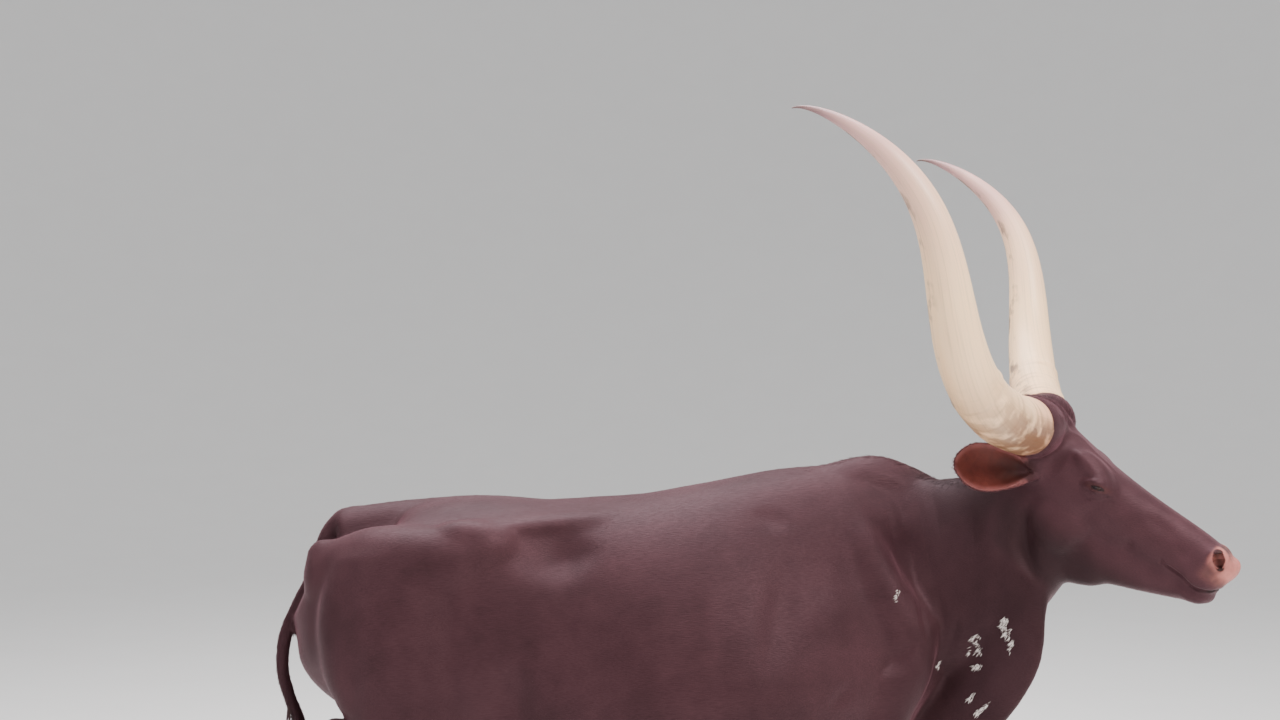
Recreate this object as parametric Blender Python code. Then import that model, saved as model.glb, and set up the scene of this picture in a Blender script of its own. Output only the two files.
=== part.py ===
"""A long-horned Ankole-Watusi cow, standing with its head turned to its right.

Metres, +Z up. +X points forward and +Y to the cow's left. The shapes are set out from the middle of
the trunk, on the floor, and an empty then carries them so that the origin lies under the middle of
the whole. Fleshy masses are lofted through named sections, fused into one skin, smoothed, given their
folds and hollows, thinned, and parted into named pieces that meet face to face.
"""

import math
import random
from typing import NamedTuple

import bmesh
import bpy
import numpy as np
from mathutils import Euler, Matrix, Vector
from mathutils.bvhtree import BVHTree

# The whole
BOX_MIDDLE = Vector((0.178, -0.100, 0.0))  # under the middle of the whole, from the middle of the trunk
GAP = 0.0003  # kept between pieces that touch
SIDES = (("left", 1), ("right", -1))

# The head's place: the poll is the top of the forehead, between the horns
POLL = Vector((0.885, -0.224, 1.460))
HEAD_TURN = math.radians(25.0)  # to the cow's right
HEAD_DROP = math.radians(38.4)  # forehead to muzzle, below level
HEAD_TILT = math.radians(1.1)
HEAD = (Matrix.Translation(POLL) @ Matrix.Rotation(-HEAD_TURN, 4, "Z")
        @ Matrix.Rotation(HEAD_DROP, 4, "Y") @ Matrix.Rotation(HEAD_TILT, 4, "X"))

# The eye: forward, left and up of the poll, as all that follows on the head
EYE_AT = Vector((0.187, 0.0870, -0.061))
EYE_RADIUS = 0.0205
LID_THICK = 0.0035
EYE_SLIT = (0.0190, 0.0062)  # half the length and half the height of the opening
EYE_SLANT = 20.0  # degrees by which the slit's front corner is the higher one

# The horns: the six guide points of the left one, and how it narrows
HORN_PATH = ((0.014, 0.020, -0.040), (-0.107, 0.760, -0.131), (-0.387, 0.365, 0.210),
             (-0.261, 0.693, 0.309), (-0.698, 0.595, 0.301), (-0.748, 0.616, 0.226))
HORN_RADIUS = 0.0645
HORN_TIP_RADIUS = 0.0015
HORN_TAPER = 2.1  # the higher, the nearer the tip the horn narrows
HORN_SEAT = (0.62, 0.055)  # share of the radius at the root, and share of the length over which it widens
HORN_RINGS = 20
HORN_SIDES = 12
HORN_CROWDING = -0.25  # below nought, the rings stand closer at both ends
COLLAR = ((0.030, 0.062), (0.060, 0.071), (0.085, 0.0705), (0.110, 0.060))  # share of the horn, skin's radius

# The left ear
EAR_ROOT = Vector((0.052, 0.088, -0.138))
EAR_TIP = Vector((-0.072, 0.262, -0.200))
EAR_ACROSS = Vector((0.80, -0.19, -0.57))  # from the upper rim to the lower one
EAR_HALF = 0.060  # half its breadth, laid flat
EAR_THICK = 0.0075
EAR_END = 0.985  # share of the length at which the leaf is closed, so that its tip is blunt

# The feet: the middle of each, forward and left, and how far the lower leg is set forward
HOOF_LENGTH = 0.112
HOOF_WIDTH = 0.050
HOOF_TOP = 0.068
HOOF_SLOPE = math.radians(20.0)
CLAW_GAP = 0.006
HOOF_SIDES = 11
STEP_FORE = {"left": -0.035, "right": 0.040}
STEP_HIND = {"left": 0.075, "right": -0.035}

# The tail: points down its middle, and its switch of hair
TAIL_PATH = ((-0.690, 0.0, 1.212), (-0.742, 0.0, 1.203), (-0.778, 0.0, 1.170), (-0.798, 0.0, 1.120),
             (-0.818, 0.0, 1.065), (-0.852, 0.0, 1.000), (-0.882, 0.0, 0.930), (-0.890, 0.0, 0.858),
             (-0.876, 0.0, 0.792), (-0.850, 0.0, 0.725), (-0.832, 0.0, 0.650), (-0.824, 0.0, 0.580))
TAIL_RADII = (0.024, 0.027, 0.0255, 0.0225, 0.0195, 0.0180, 0.0170, 0.0160, 0.0155, 0.0150, 0.0140, 0.0130)
TAIL_SIDES = 8
SWITCH_LENGTH = 0.30
SWITCH_LOCKS = 34

# The skin's fineness
VOXEL = 0.0062
SKIN_ROUNDS = 7  # of smoothing, all over
FLESH_ROUNDS = 24  # of smoothing, on the trunk and neck
SKIN_FACES = 6900
HEAD_KEPT = 0.009  # how strongly thinning spares the head
END_FADE = 6.0  # a fold fades over this many of its widths at each end
SHARP_ANGLE = math.radians(50.0)


class Section(NamedTuple):
    """One ring of a loft: its middle, and how far it reaches from there."""

    middle: tuple
    above: float
    below: float
    side: float
    egg: float = 0.0  # above nought, narrower at the top
    square: float = 2.0  # two is round, more is boxy


def clear_scene():
    for thing in list(bpy.data.objects):
        bpy.data.objects.remove(thing)


def material(name, colour, roughness):
    made = bpy.data.materials.get(name) or bpy.data.materials.new(name)
    made.use_nodes = True
    shader = made.node_tree.nodes["Principled BSDF"]
    shader.inputs["Base Color"].default_value = (*colour, 1.0)
    shader.inputs["Roughness"].default_value = roughness
    return made


def new_object(name, mesh):
    made = bpy.data.objects.new(name, mesh)
    bpy.context.scene.collection.objects.link(made)
    return made


def from_bmesh(name, shape):
    bmesh.ops.recalc_face_normals(shape, faces=shape.faces)
    mesh = bpy.data.meshes.new(name)
    shape.to_mesh(mesh)
    shape.free()
    return new_object(name, mesh)


def applied(thing):
    """Puts an object's modifiers into its mesh."""
    graph = bpy.context.evaluated_depsgraph_get()
    mesh = bpy.data.meshes.new_from_object(thing.evaluated_get(graph))
    thing.modifiers.clear()
    thing.data = mesh
    return thing


def combined(thing, others, operation, solver="MANIFOLD"):
    """Joins a collection of closed meshes to an object, or cuts it by them, and removes them."""
    group = bpy.data.collections.new("tools")
    for other in others:
        group.objects.link(other)
    joint = thing.modifiers.new("joined", "BOOLEAN")
    joint.operation = operation
    joint.operand_type = "COLLECTION"
    joint.collection = group
    joint.solver = solver
    applied(thing)
    for other in others:
        bpy.data.objects.remove(other)
    bpy.data.collections.remove(group)
    return thing


def rise(values, low, high):
    """A smooth rise from nought at low to one at high. low may be the larger one."""
    share = np.clip((np.asarray(values, float) - low) / (high - low), 0.0, 1.0)
    return share * share * (3.0 - 2.0 * share)


def largest_only(thing):
    """Keeps the largest closed surface of an object."""
    shape = bmesh.new()
    shape.from_mesh(thing.data)
    left = set(shape.verts)
    groups = []
    while left:
        found = {left.pop()}
        edge = list(found)
        while edge:
            here = edge.pop()
            near = {link.other_vert(here) for link in here.link_edges} & left
            left -= near
            found |= near
            edge.extend(near)
        groups.append(found)
    groups.sort(key=len)
    for small in groups[:-1]:
        bmesh.ops.delete(shape, geom=list(small), context="VERTS")
    bmesh.ops.triangulate(shape, faces=shape.faces)
    shape.to_mesh(thing.data)
    shape.free()
    return thing


def through(rows, spans):
    """Rows of numbers joined by a smooth curve, with this many steps between two rows."""
    rows = np.array(rows, float)
    ends = np.vstack([2 * rows[0] - rows[1], rows, 2 * rows[-1] - rows[-2]])
    made = []
    for i in range(len(rows) - 1):
        before, start, end, after = ends[i:i + 4]
        for step in range(spans):
            t = step / spans
            made.append(0.5 * (2 * start + (end - before) * t
                               + (2 * before - 5 * start + 4 * end - after) * t ** 2
                               + (3 * start - before - 3 * end + after) * t ** 3))
    made.append(rows[-1])
    return np.array(made)


def tube(name, rings, place=Matrix()):
    """A closed body through rings of points, with a fan over each end."""
    shape = bmesh.new()
    loops = [[shape.verts.new(place @ Vector(point)) for point in ring] for ring in rings]
    count = len(loops[0])
    for lower, upper in zip(loops, loops[1:]):
        for i in range(count):
            j = (i + 1) % count
            shape.faces.new((lower[i], lower[j], upper[j], upper[i]))
    for loop in (loops[0], loops[-1]):
        middle = shape.verts.new(sum((v.co for v in loop), Vector()) / count)
        for i in range(count):
            shape.faces.new((loop[i], loop[(i + 1) % count], middle))
    return from_bmesh(name, shape)


def domed(rings, way, start, dome):
    """Rings that close one end of a loft with a dome, this deep for its width."""
    ring = rings[0 if start else -1]
    middle = sum(ring, Vector()) / len(ring)
    width = sum((point - middle).length for point in ring) / len(ring)
    made = []
    for angle in (0.45, 0.85, 1.25):
        shift = way * (dome * width * math.sin(angle))
        made.append([middle + (point - middle) * math.cos(angle) + shift for point in ring])
    return made[::-1] + rings if start else rings + made


def loft(name, sections, up=(0, 0, 1), place=Matrix(), sides=24, spans=4, grow=0.0, carried=False, dome=0.0):
    """A closed body through sections, each ring across the line of the middles, grown by a distance.

    Each ring is set by the way up, or, where it is carried, by the ring before it.
    """
    rows = through([[*s.middle, s.above, s.below, s.side, s.egg, s.square] for s in sections], spans)
    ways = np.gradient(rows[:, :3], axis=0)
    rows[:, 3:6] += grow
    for end, way in ((0, -1), (-1, 1)):
        rows[end, :3] += way * grow * ways[end] / np.linalg.norm(ways[end])
    rings = []
    for row, way in zip(rows, ways):
        forward = Vector(way).normalized()
        rise = (Vector(up) - Vector(up).dot(forward) * forward).normalized()
        up = rise if carried else up
        across = rise.cross(forward)
        above, below, side, egg, square = row[3:]
        ring = []
        for i in range(sides):
            turn = 2 * math.pi * i / sides
            c = math.copysign(abs(math.cos(turn)) ** (2 / square), math.cos(turn))
            s = math.copysign(abs(math.sin(turn)) ** (2 / square), math.sin(turn))
            reach = above if s > 0 else below
            ring.append(Vector(row[:3]) + across * (side * c * (1 - egg * s)) + rise * (reach * s))
        rings.append(ring)
    if dome:
        rings = domed(rings, -Vector(ways[0]).normalized(), True, dome)
        rings = domed(rings, Vector(ways[-1]).normalized(), False, dome)
    return tube(name, rings, place)


def round_tube(name, path, radii, sides=10, spans=4, place=Matrix(), grow=0.0):
    """A round tube down a smooth path, its radius given at each point."""
    rows = [Section(tuple(point), radius, radius, radius) for point, radius in zip(path, radii)]
    return loft(name, rows, (0.13, 0.21, 1.0), place, sides, spans, grow, carried=True)


def ball(name, middle, radii, turn=(0, 0, 0), place=Matrix(), fine=3):
    """An ellipsoid. turn is in degrees, about X, Y and Z."""
    shape = bmesh.new()
    bmesh.ops.create_icosphere(shape, subdivisions=fine, radius=1.0)
    spin = Euler([math.radians(angle) for angle in turn]).to_matrix().to_4x4()
    shape.transform(place @ Matrix.Translation(Vector(middle)) @ spin @ Matrix.Diagonal((*radii, 1.0)))
    return from_bmesh(name, shape)


def mirrored(point, side):
    """A point of the left side, or the one across from it."""
    return (point[0], side * point[1], *point[2:])


def on_side(rows, side):
    """Sections of the left side, or those across from them."""
    return [Section(mirrored(at, side), *reach) for at, *reach in rows]


# Masses of the body

def trunk():
    rows = (  # forward, top, bottom, half width, egg, square
        (-0.830, 1.150, 0.960, 0.085, 0.00, 2.0), (-0.785, 1.200, 0.880, 0.145, 0.00, 2.2),
        (-0.700, 1.232, 0.770, 0.200, 0.00, 2.4), (-0.580, 1.250, 0.700, 0.228, 0.02, 2.5),
        (-0.420, 1.256, 0.660, 0.238, 0.05, 2.5), (-0.250, 1.246, 0.608, 0.262, 0.12, 2.3),
        (-0.050, 1.254, 0.577, 0.303, 0.18, 2.2), (0.150, 1.284, 0.577, 0.308, 0.22, 2.1),
        (0.300, 1.308, 0.597, 0.270, 0.26, 2.1), (0.450, 1.312, 0.630, 0.218, 0.26, 2.1),
        (0.580, 1.262, 0.680, 0.172, 0.20, 2.1), (0.670, 1.150, 0.760, 0.120, 0.10, 2.0))
    middle = 0.45  # share of the depth at which the trunk is widest
    return loft("trunk", [
        Section((x, 0.0, low + middle * (top - low)), (1 - middle) * (top - low), middle * (top - low),
                half, egg, square) for x, top, low, half, egg, square in rows], sides=36)


def back_ridge():
    rows = ((-0.760, 1.226), (-0.600, 1.247), (-0.420, 1.256), (-0.310, 1.245), (-0.135, 1.253),
            (-0.020, 1.260), (0.090, 1.277), (0.195, 1.299), (0.290, 1.316), (0.395, 1.324),
            (0.470, 1.342), (0.530, 1.344), (0.600, 1.318), (0.660, 1.285))
    return loft("back_ridge", [Section((x, 0.0, top - 0.050), 0.050, 0.05, 0.055, 0.35) for x, top in rows])


def neck():
    return loft("neck", (
        Section((0.400, 0.000, 1.020), 0.265, 0.300, 0.155, 0.15),
        Section((0.560, -0.010, 1.050), 0.262, 0.270, 0.142, 0.25),
        Section((0.660, -0.055, 1.075), 0.232, 0.240, 0.112, 0.30),
        Section((0.740, -0.110, 1.115), 0.200, 0.210, 0.094, 0.25),
        Section((0.810, -0.165, 1.175), 0.168, 0.170, 0.085, 0.15),
        Section((0.865, -0.205, 1.250), 0.142, 0.130, 0.080, 0.10),
        Section((0.900, -0.225, 1.330), 0.105, 0.100, 0.072, 0.10)), sides=30)


def dewlap():
    return loft("dewlap", (
        Section((0.850, -0.225, 1.100), 0.035, 0.080, 0.050, 0.2),
        Section((0.826, -0.218, 1.010), 0.052, 0.100, 0.042, 0.4),
        Section((0.795, -0.190, 0.910), 0.088, 0.120, 0.036, 0.4),
        Section((0.757, -0.135, 0.800), 0.085, 0.130, 0.038, 0.4),
        Section((0.692, -0.065, 0.715), 0.085, 0.110, 0.052, 0.3),
        Section((0.600, -0.010, 0.685), 0.060, 0.080, 0.075, 0.2),
        Section((0.480, 0.000, 0.690), 0.060, 0.080, 0.095, 0.1)), up=(0.72, -0.62, -0.55), sides=22)


def rump(name, side):
    hook = ball(f"hook_{name}", mirrored((-0.435, 0.188, 1.162), side), (0.080, 0.042, 0.052), (0, 8, 0))
    pin = ball(f"pin_{name}", mirrored((-0.785, 0.083, 1.120), side), (0.045, 0.034, 0.045))
    hip = loft(f"hip_{name}", on_side((
        ((-0.410, 0.175, 1.150), 0.045, 0.060, 0.048), ((-0.520, 0.160, 1.110), 0.090, 0.110, 0.080),
        ((-0.660, 0.125, 1.085), 0.110, 0.130, 0.088), ((-0.775, 0.085, 1.070), 0.085, 0.100, 0.060)), side),
        dome=0.8)
    loin = loft(f"loin_{name}", on_side((
        ((-0.430, 0.105, 1.188), 0.030, 0.036, 0.085, 0.2),
        ((-0.300, 0.100, 1.196), 0.028, 0.036, 0.070, 0.2),
        ((-0.140, 0.080, 1.205), 0.024, 0.032, 0.050, 0.2)), side), dome=1.5)
    return [hook, pin, hip, loin]


def stepped(rows, side, step, start):
    """Sections of a leg, set forward more and more below a height."""
    made = []
    for (x, y, z), front, back, out in rows:
        share = min(1.0, max(0.0, (start - z) / (start - HOOF_TOP)))
        made.append(Section((x + step * share, side * y, z), front, back, out))
    return made


def foreleg(name, side):
    blade = loft(f"blade_{name}", on_side((
        ((0.405, 0.060, 1.215), 0.060, 0.080, 0.028), ((0.430, 0.112, 1.150), 0.075, 0.100, 0.040),
        ((0.485, 0.148, 1.050), 0.075, 0.105, 0.048), ((0.560, 0.158, 0.940), 0.068, 0.090, 0.052),
        ((0.565, 0.150, 0.880), 0.055, 0.080, 0.050)), side), up=(1, 0, 0.35), dome=0.8)
    upper = loft(f"upper_fore_{name}", on_side((
        ((0.590, 0.152, 0.950), 0.050, 0.090, 0.045), ((0.545, 0.160, 0.870), 0.080, 0.120, 0.058),
        ((0.500, 0.162, 0.790), 0.085, 0.110, 0.056), ((0.492, 0.160, 0.720), 0.070, 0.080, 0.050)), side),
        up=(1, 0, 0), dome=0.7)
    triceps = ball(f"triceps_{name}", mirrored((0.435, 0.165, 0.860), side), (0.100, 0.050, 0.125),
                   (0, 20, 0))
    lower = loft(f"lower_fore_{name}", stepped((
        ((0.492, 0.162, 0.800), 0.078, 0.090, 0.050), ((0.490, 0.160, 0.730), 0.068, 0.076, 0.050),
        ((0.495, 0.152, 0.640), 0.056, 0.060, 0.045), ((0.505, 0.145, 0.540), 0.043, 0.043, 0.037),
        ((0.513, 0.140, 0.460), 0.040, 0.036, 0.036), ((0.517, 0.137, 0.405), 0.046, 0.037, 0.041),
        ((0.512, 0.135, 0.350), 0.032, 0.034, 0.031), ((0.509, 0.133, 0.280), 0.025, 0.030, 0.0245),
        ((0.508, 0.132, 0.205), 0.0255, 0.032, 0.026), ((0.510, 0.131, 0.160), 0.036, 0.040, 0.036),
        ((0.521, 0.131, 0.112), 0.030, 0.034, 0.034), ((0.535, 0.131, 0.080), 0.044, 0.044, 0.045),
        ((0.545, 0.131, 0.040), 0.046, 0.046, 0.046)), side, STEP_FORE[name], 0.70), up=(1, 0, 0), sides=20)
    elbow = ball(f"elbow_{name}", mirrored((0.425, 0.160, 0.755), side), (0.042, 0.030, 0.042))
    return [blade, upper, triceps, lower, elbow]


def hind_leg(name, side):
    thigh = loft(f"thigh_{name}", stepped((
        ((-0.600, 0.125, 1.120), 0.185, 0.170, 0.095), ((-0.602, 0.150, 1.000), 0.195, 0.195, 0.098),
        ((-0.600, 0.158, 0.900), 0.190, 0.190, 0.092), ((-0.592, 0.160, 0.810), 0.180, 0.170, 0.080),
        ((-0.600, 0.160, 0.720), 0.135, 0.135, 0.064), ((-0.645, 0.156, 0.630), 0.085, 0.092, 0.048),
        ((-0.700, 0.152, 0.560), 0.056, 0.062, 0.038), ((-0.732, 0.150, 0.505), 0.050, 0.050, 0.037),
        ((-0.736, 0.148, 0.450), 0.040, 0.038, 0.031), ((-0.728, 0.146, 0.350), 0.027, 0.031, 0.025),
        ((-0.722, 0.145, 0.210), 0.0265, 0.033, 0.0265), ((-0.716, 0.145, 0.160), 0.038, 0.041, 0.037),
        ((-0.698, 0.145, 0.112), 0.031, 0.034, 0.034), ((-0.680, 0.145, 0.080), 0.044, 0.044, 0.045),
        ((-0.668, 0.145, 0.040), 0.046, 0.046, 0.046)), side, STEP_HIND[name], 0.78), up=(1, 0, 0), sides=22)
    step = STEP_HIND[name]
    cord = round_tube(f"hock_cord_{name}", [mirrored(at, side) for at in (
        (-0.748, 0.152, 0.760), (-0.752 + 0.15 * step, 0.150, 0.680), (-0.766 + 0.25 * step, 0.149, 0.610),
        (-0.786 + 0.32 * step, 0.149, 0.560), (-0.772 + 0.37 * step, 0.149, 0.520))],
        (0.030, 0.017, 0.013, 0.0185, 0.018), sides=12)
    stifle = ball(f"stifle_{name}", mirrored((-0.425, 0.175, 0.745), side), (0.055, 0.040, 0.085),
                  (0, -15, 0))
    return [thigh, cord, stifle]


def udder():
    bag = ball("bag", (-0.440, 0.0, 0.650), (0.125, 0.085, 0.062))
    teats = []
    for forward in (-0.400, -0.485):
        for _, side in SIDES:
            top = (forward, side * 0.038, 0.610)
            low = (forward, side * 0.046, 0.548)
            teats.append(round_tube("teat", (top, low), (0.013, 0.0105), spans=3))
            teats.append(ball("teat_end", low, (0.0105, 0.0105, 0.009), fine=2))
    return [bag, *teats]


# Masses of the head, all forward, left and up of the poll

def skull():
    rows = (  # forward, top, bottom, half width, egg, square
        (-0.055, -0.040, -0.150, 0.050, 0.0, 2.0), (-0.020, -0.012, -0.190, 0.070, 0.0, 2.2),
        (0.040, -0.002, -0.205, 0.083, 0.0, 2.4), (0.110, -0.007, -0.205, 0.093, -0.02, 2.6),
        (0.170, -0.011, -0.195, 0.094, -0.04, 2.6), (0.225, -0.013, -0.180, 0.083, -0.02, 2.5),
        (0.290, -0.012, -0.165, 0.068, 0.05, 2.4), (0.360, -0.008, -0.150, 0.057, 0.08, 2.4),
        (0.420, -0.004, -0.138, 0.053, 0.04, 2.4), (0.470, -0.003, -0.124, 0.058, 0.00, 2.4),
        (0.510, -0.008, -0.108, 0.057, 0.00, 2.3), (0.538, -0.026, -0.088, 0.040, 0.00, 2.2))
    return loft("skull", [Section((x, 0.0, 0.5 * (top + low)), 0.5 * (top - low), 0.5 * (top - low),
                                  half, egg, square) for x, top, low, half, egg, square in rows],
                place=HEAD, sides=32)


def jaw():
    rows = (  # forward, top, bottom, half width
        (0.070, -0.100, -0.190, 0.062), (0.110, -0.100, -0.238, 0.070), (0.160, -0.100, -0.276, 0.070),
        (0.210, -0.100, -0.292, 0.062), (0.270, -0.100, -0.270, 0.052), (0.330, -0.100, -0.238, 0.043),
        (0.390, -0.095, -0.208, 0.037), (0.450, -0.090, -0.176, 0.036), (0.495, -0.085, -0.150, 0.038),
        (0.524, -0.082, -0.124, 0.030))
    return loft("jaw", [Section((x, 0.0, 0.5 * (top + low)), 0.5 * (top - low), 0.5 * (top - low),
                                half, 0.0, 2.2) for x, top, low, half in rows], place=HEAD, sides=26)


def face(name, side):
    def lump(what, at, radii, turn=(0, 0, 0)):
        turn = (turn[0] * side, turn[1], turn[2] * side)
        return ball(f"{what}_{name}", mirrored(at, side), radii, turn, HEAD)

    line = horn_line()
    path = [mirrored(line[round(share * (len(line) - 1))], side) for share, _ in COLLAR]
    collar = round_tube(f"collar_{name}", path, [radius for _, radius in COLLAR], sides=20, place=HEAD)
    return [
        collar,
        lump("horn_seat", (0.004, 0.058, -0.047), (0.070, 0.050, 0.069)),
        lump("brow", (0.168, 0.064, -0.048), (0.070, 0.033, 0.032), (0, 12, -14)),
        lump("orbit", (0.188, 0.068, -0.066), (0.050, 0.031, 0.040)),
        lump("cheek", (0.165, 0.052, -0.190), (0.078, 0.036, 0.082), (0, 20, 0)),
        lump("cheek_bone", (0.262, 0.056, -0.098), (0.085, 0.022, 0.024), (0, 6, -18)),
        lump("ear_seat", (0.040, 0.075, -0.125), (0.045, 0.034, 0.045)),
        lump("nose_wing", (0.492, 0.038, -0.034), (0.036, 0.026, 0.030), (0, 20, 0)),
        lump("upper_lip", (0.480, 0.030, -0.094), (0.052, 0.030, 0.026), (0, -8, 0)),
        lump("lower_lip", (0.492, 0.020, -0.132), (0.042, 0.024, 0.022), (0, -14, 0))]


def muzzle():
    pad = ball("nose_pad", (0.520, 0.0, -0.044), (0.026, 0.048, 0.038), (0, 10, 0), HEAD)
    chin = ball("chin", (0.510, 0.0, -0.118), (0.034, 0.034, 0.026), (0, -20, 0), HEAD)
    throat = ball("throat", (0.225, 0.0, -0.262), (0.120, 0.045, 0.046), (0, -16, 0), HEAD)
    poll = ball("poll_ridge", (0.000, 0.0, -0.030), (0.085, 0.050, 0.044), (0, -4, 0), HEAD)
    return [pad, chin, throat, poll]


def fused_skin():
    """One smooth closed skin round every mass."""
    pieces = [trunk(), back_ridge(), neck(), dewlap(), skull(), jaw(), *muzzle(), *udder()]
    for name, side in SIDES:
        pieces += rump(name, side) + foreleg(name, side) + hind_leg(name, side) + face(name, side)
    shape = bmesh.new()
    for piece in pieces:
        shape.from_mesh(piece.data)
        bpy.data.objects.remove(piece)
    skin = from_bmesh("skin", shape)
    fuse = skin.modifiers.new("fused", "REMESH")
    fuse.mode = "VOXEL"
    fuse.voxel_size = VOXEL
    applied(skin)
    count = len(skin.data.vertices)
    softened(skin, np.ones(count), SKIN_ROUNDS)
    softened(skin, thick_flesh(places(skin)), FLESH_ROUNDS)
    return skin


def places(thing):
    """Every vertex's place, as rows of three numbers."""
    points = np.empty(len(thing.data.vertices) * 3)
    thing.data.vertices.foreach_get("co", points)
    return points.reshape(-1, 3)


def thick_flesh(points):
    """One on the trunk and neck, and nought on the head, the legs and the udder."""
    back = np.array(HEAD.inverted())
    forward, _, up = (points @ back[:3, :3].T + back[:3, 3]).T
    x, y, z = points.T
    out = np.abs(y)
    before_neck = (forward + 0.085) * 0.925 + (up - 0.030) * 0.380
    head = rise(before_neck, -0.01, 0.04) * rise(up, -0.345, -0.305)
    fore = rise(x, 0.36, 0.42) * rise(x, 0.70, 0.64) * rise(z, 0.74, 0.60) * rise(out, 0.03, 0.07)
    hind = rise(x, -0.40, -0.46) * rise(z, 0.86, 0.68) * rise(out, 0.03, 0.07)
    bag = rise(x, -0.64, -0.58) * rise(x, -0.28, -0.33) * rise(out, 0.11, 0.085) * rise(z, 0.68, 0.64)
    return 1.0 - np.max([head, fore, hind, bag], axis=0)


def softened(skin, weights, rounds):
    """Evens out the skin where it is given weight, from nought to one."""
    group = skin.vertex_groups.new(name="soft")
    for index, weight in enumerate(weights):
        group.add((index,), float(weight), "REPLACE")
    soft = skin.modifiers.new("softened", "SMOOTH")
    soft.factor = 0.5
    soft.iterations = rounds
    soft.vertex_group = group.name
    applied(skin)
    skin.vertex_groups.clear()


# Folds and hollows: a path, how wide its edges fade, and how far it goes in (or out, below nought)

def body_strokes(side):
    hollow = ((-0.370, 0.240, 1.110), (-0.290, 0.240, 1.145), (-0.210, 0.240, 1.165), (-0.140, 0.230, 1.172))
    blade_edge = ((0.520, 0.130, 1.240), (0.585, 0.150, 1.120), (0.655, 0.165, 0.990), (0.665, 0.160, 0.930))
    blade_back = ((0.300, 0.200, 1.230), (0.325, 0.240, 1.080), (0.335, 0.270, 0.930))
    flank = ((-0.400, 0.270, 0.930), (-0.360, 0.250, 0.800), (-0.345, 0.200, 0.700))
    thigh = ((-0.690, 0.240, 0.980), (-0.715, 0.235, 0.850), (-0.720, 0.200, 0.720))
    return [([mirrored(at, side) for at in path], width, depth) for path, width, depth in (
        (hollow, 0.060, 0.018), (blade_edge, 0.040, 0.008), (blade_back, 0.060, 0.006),
        (flank, 0.060, 0.016), (thigh, 0.036, 0.007))]


def head_strokes(side):
    temple = ((0.085, 0.100, -0.078), (0.120, 0.104, -0.080))
    below_eye = ((0.225, 0.090, -0.095), (0.215, 0.095, -0.140), (0.230, 0.085, -0.190))
    cheek_hollow = ((0.290, 0.070, -0.160), (0.350, 0.060, -0.160))
    nose_side = ((0.300, 0.065, -0.045), (0.400, 0.055, -0.045))
    behind_lip = ((0.415, 0.055, -0.090), (0.425, 0.055, -0.050))
    return [([HEAD @ Vector(mirrored(at, side)) for at in path], width, depth) for path, width, depth in (
        (temple, 0.036, 0.007), (below_eye, 0.024, 0.004), (cheek_hollow, 0.034, 0.006),
        (nose_side, 0.026, 0.005), (behind_lip, 0.022, 0.004))]


def stroked(skin, strokes):
    """Moves the skin in or out along each stroke, which fades towards its ends."""
    points = places(skin)
    count = len(points)
    ways = np.empty(count * 3)
    skin.data.vertices.foreach_get("normal", ways)
    ways = ways.reshape(-1, 3)
    moved = np.zeros(count)
    for path, width, depth in strokes:
        path = np.array([tuple(at) for at in path])
        lengths = np.linalg.norm(np.diff(path, axis=0), axis=1)
        far = np.full(count, np.inf)
        run = np.zeros(count)
        for start, end, length, before in zip(path, path[1:], lengths, np.cumsum(lengths) - lengths):
            way = (end - start) / length
            along = np.clip((points - start) @ way, 0, length)
            distance = np.linalg.norm(points - start - along[:, None] * way, axis=1)
            nearer = distance < far
            far[nearer] = distance[nearer]
            run[nearer] = before + along[nearer]
        fade = min(END_FADE * width, lengths.sum() / 2)
        ends = rise(run, 0.0, fade) * rise(lengths.sum() - run, 0.0, fade)
        moved += depth * ends * np.exp(-(far / (width * (0.5 + 0.5 * ends))) ** 2 * 1.6)
    skin.data.vertices.foreach_set("co", (points - ways * moved[:, None]).ravel())
    skin.data.update()


def thinned(skin):
    """Fewer faces, the most of them kept on the head."""
    group = skin.vertex_groups.new(name="plain")
    back = HEAD.inverted()
    for vertex in skin.data.vertices:
        at = back @ vertex.co
        on_head = at.x > -0.05 and at.z > -0.34 and abs(at.y) < 0.16
        group.add((vertex.index,), 0.5 if on_head else 1.0, "REPLACE")
    fewer = skin.modifiers.new("fewer", "DECIMATE")
    fewer.ratio = SKIN_FACES / (2 * len(skin.data.polygons))
    fewer.vertex_group = "plain"
    fewer.vertex_group_factor = HEAD_KEPT
    applied(skin)
    skin.vertex_groups.clear()
    return skin


# Parting

def grown(outline, by):
    """A convex outline, listed anticlockwise, moved out by a distance."""
    made = []
    count = len(outline)
    for i in range(count):
        before, here, after = (Vector(outline[(i + k) % count]) for k in (-1, 0, 1))
        first = (here - before).normalized()
        second = (after - here).normalized()
        first_out = Vector((first.y, -first.x))
        second_out = Vector((second.y, -second.x))
        made.append(here + (first_out + second_out) * by / (1 + first_out.dot(second_out)))
    return made


def slab(name, outline, low, high, place=Matrix(), grow=0.0):
    """A prism: an outline of forward and up, reaching from one place to another across."""
    points = grown(outline, grow)
    rings = [[Vector((p.x, across, p.y)) for p in points] for across in (low - grow, high + grow)]
    return tube(name, rings, place)


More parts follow.
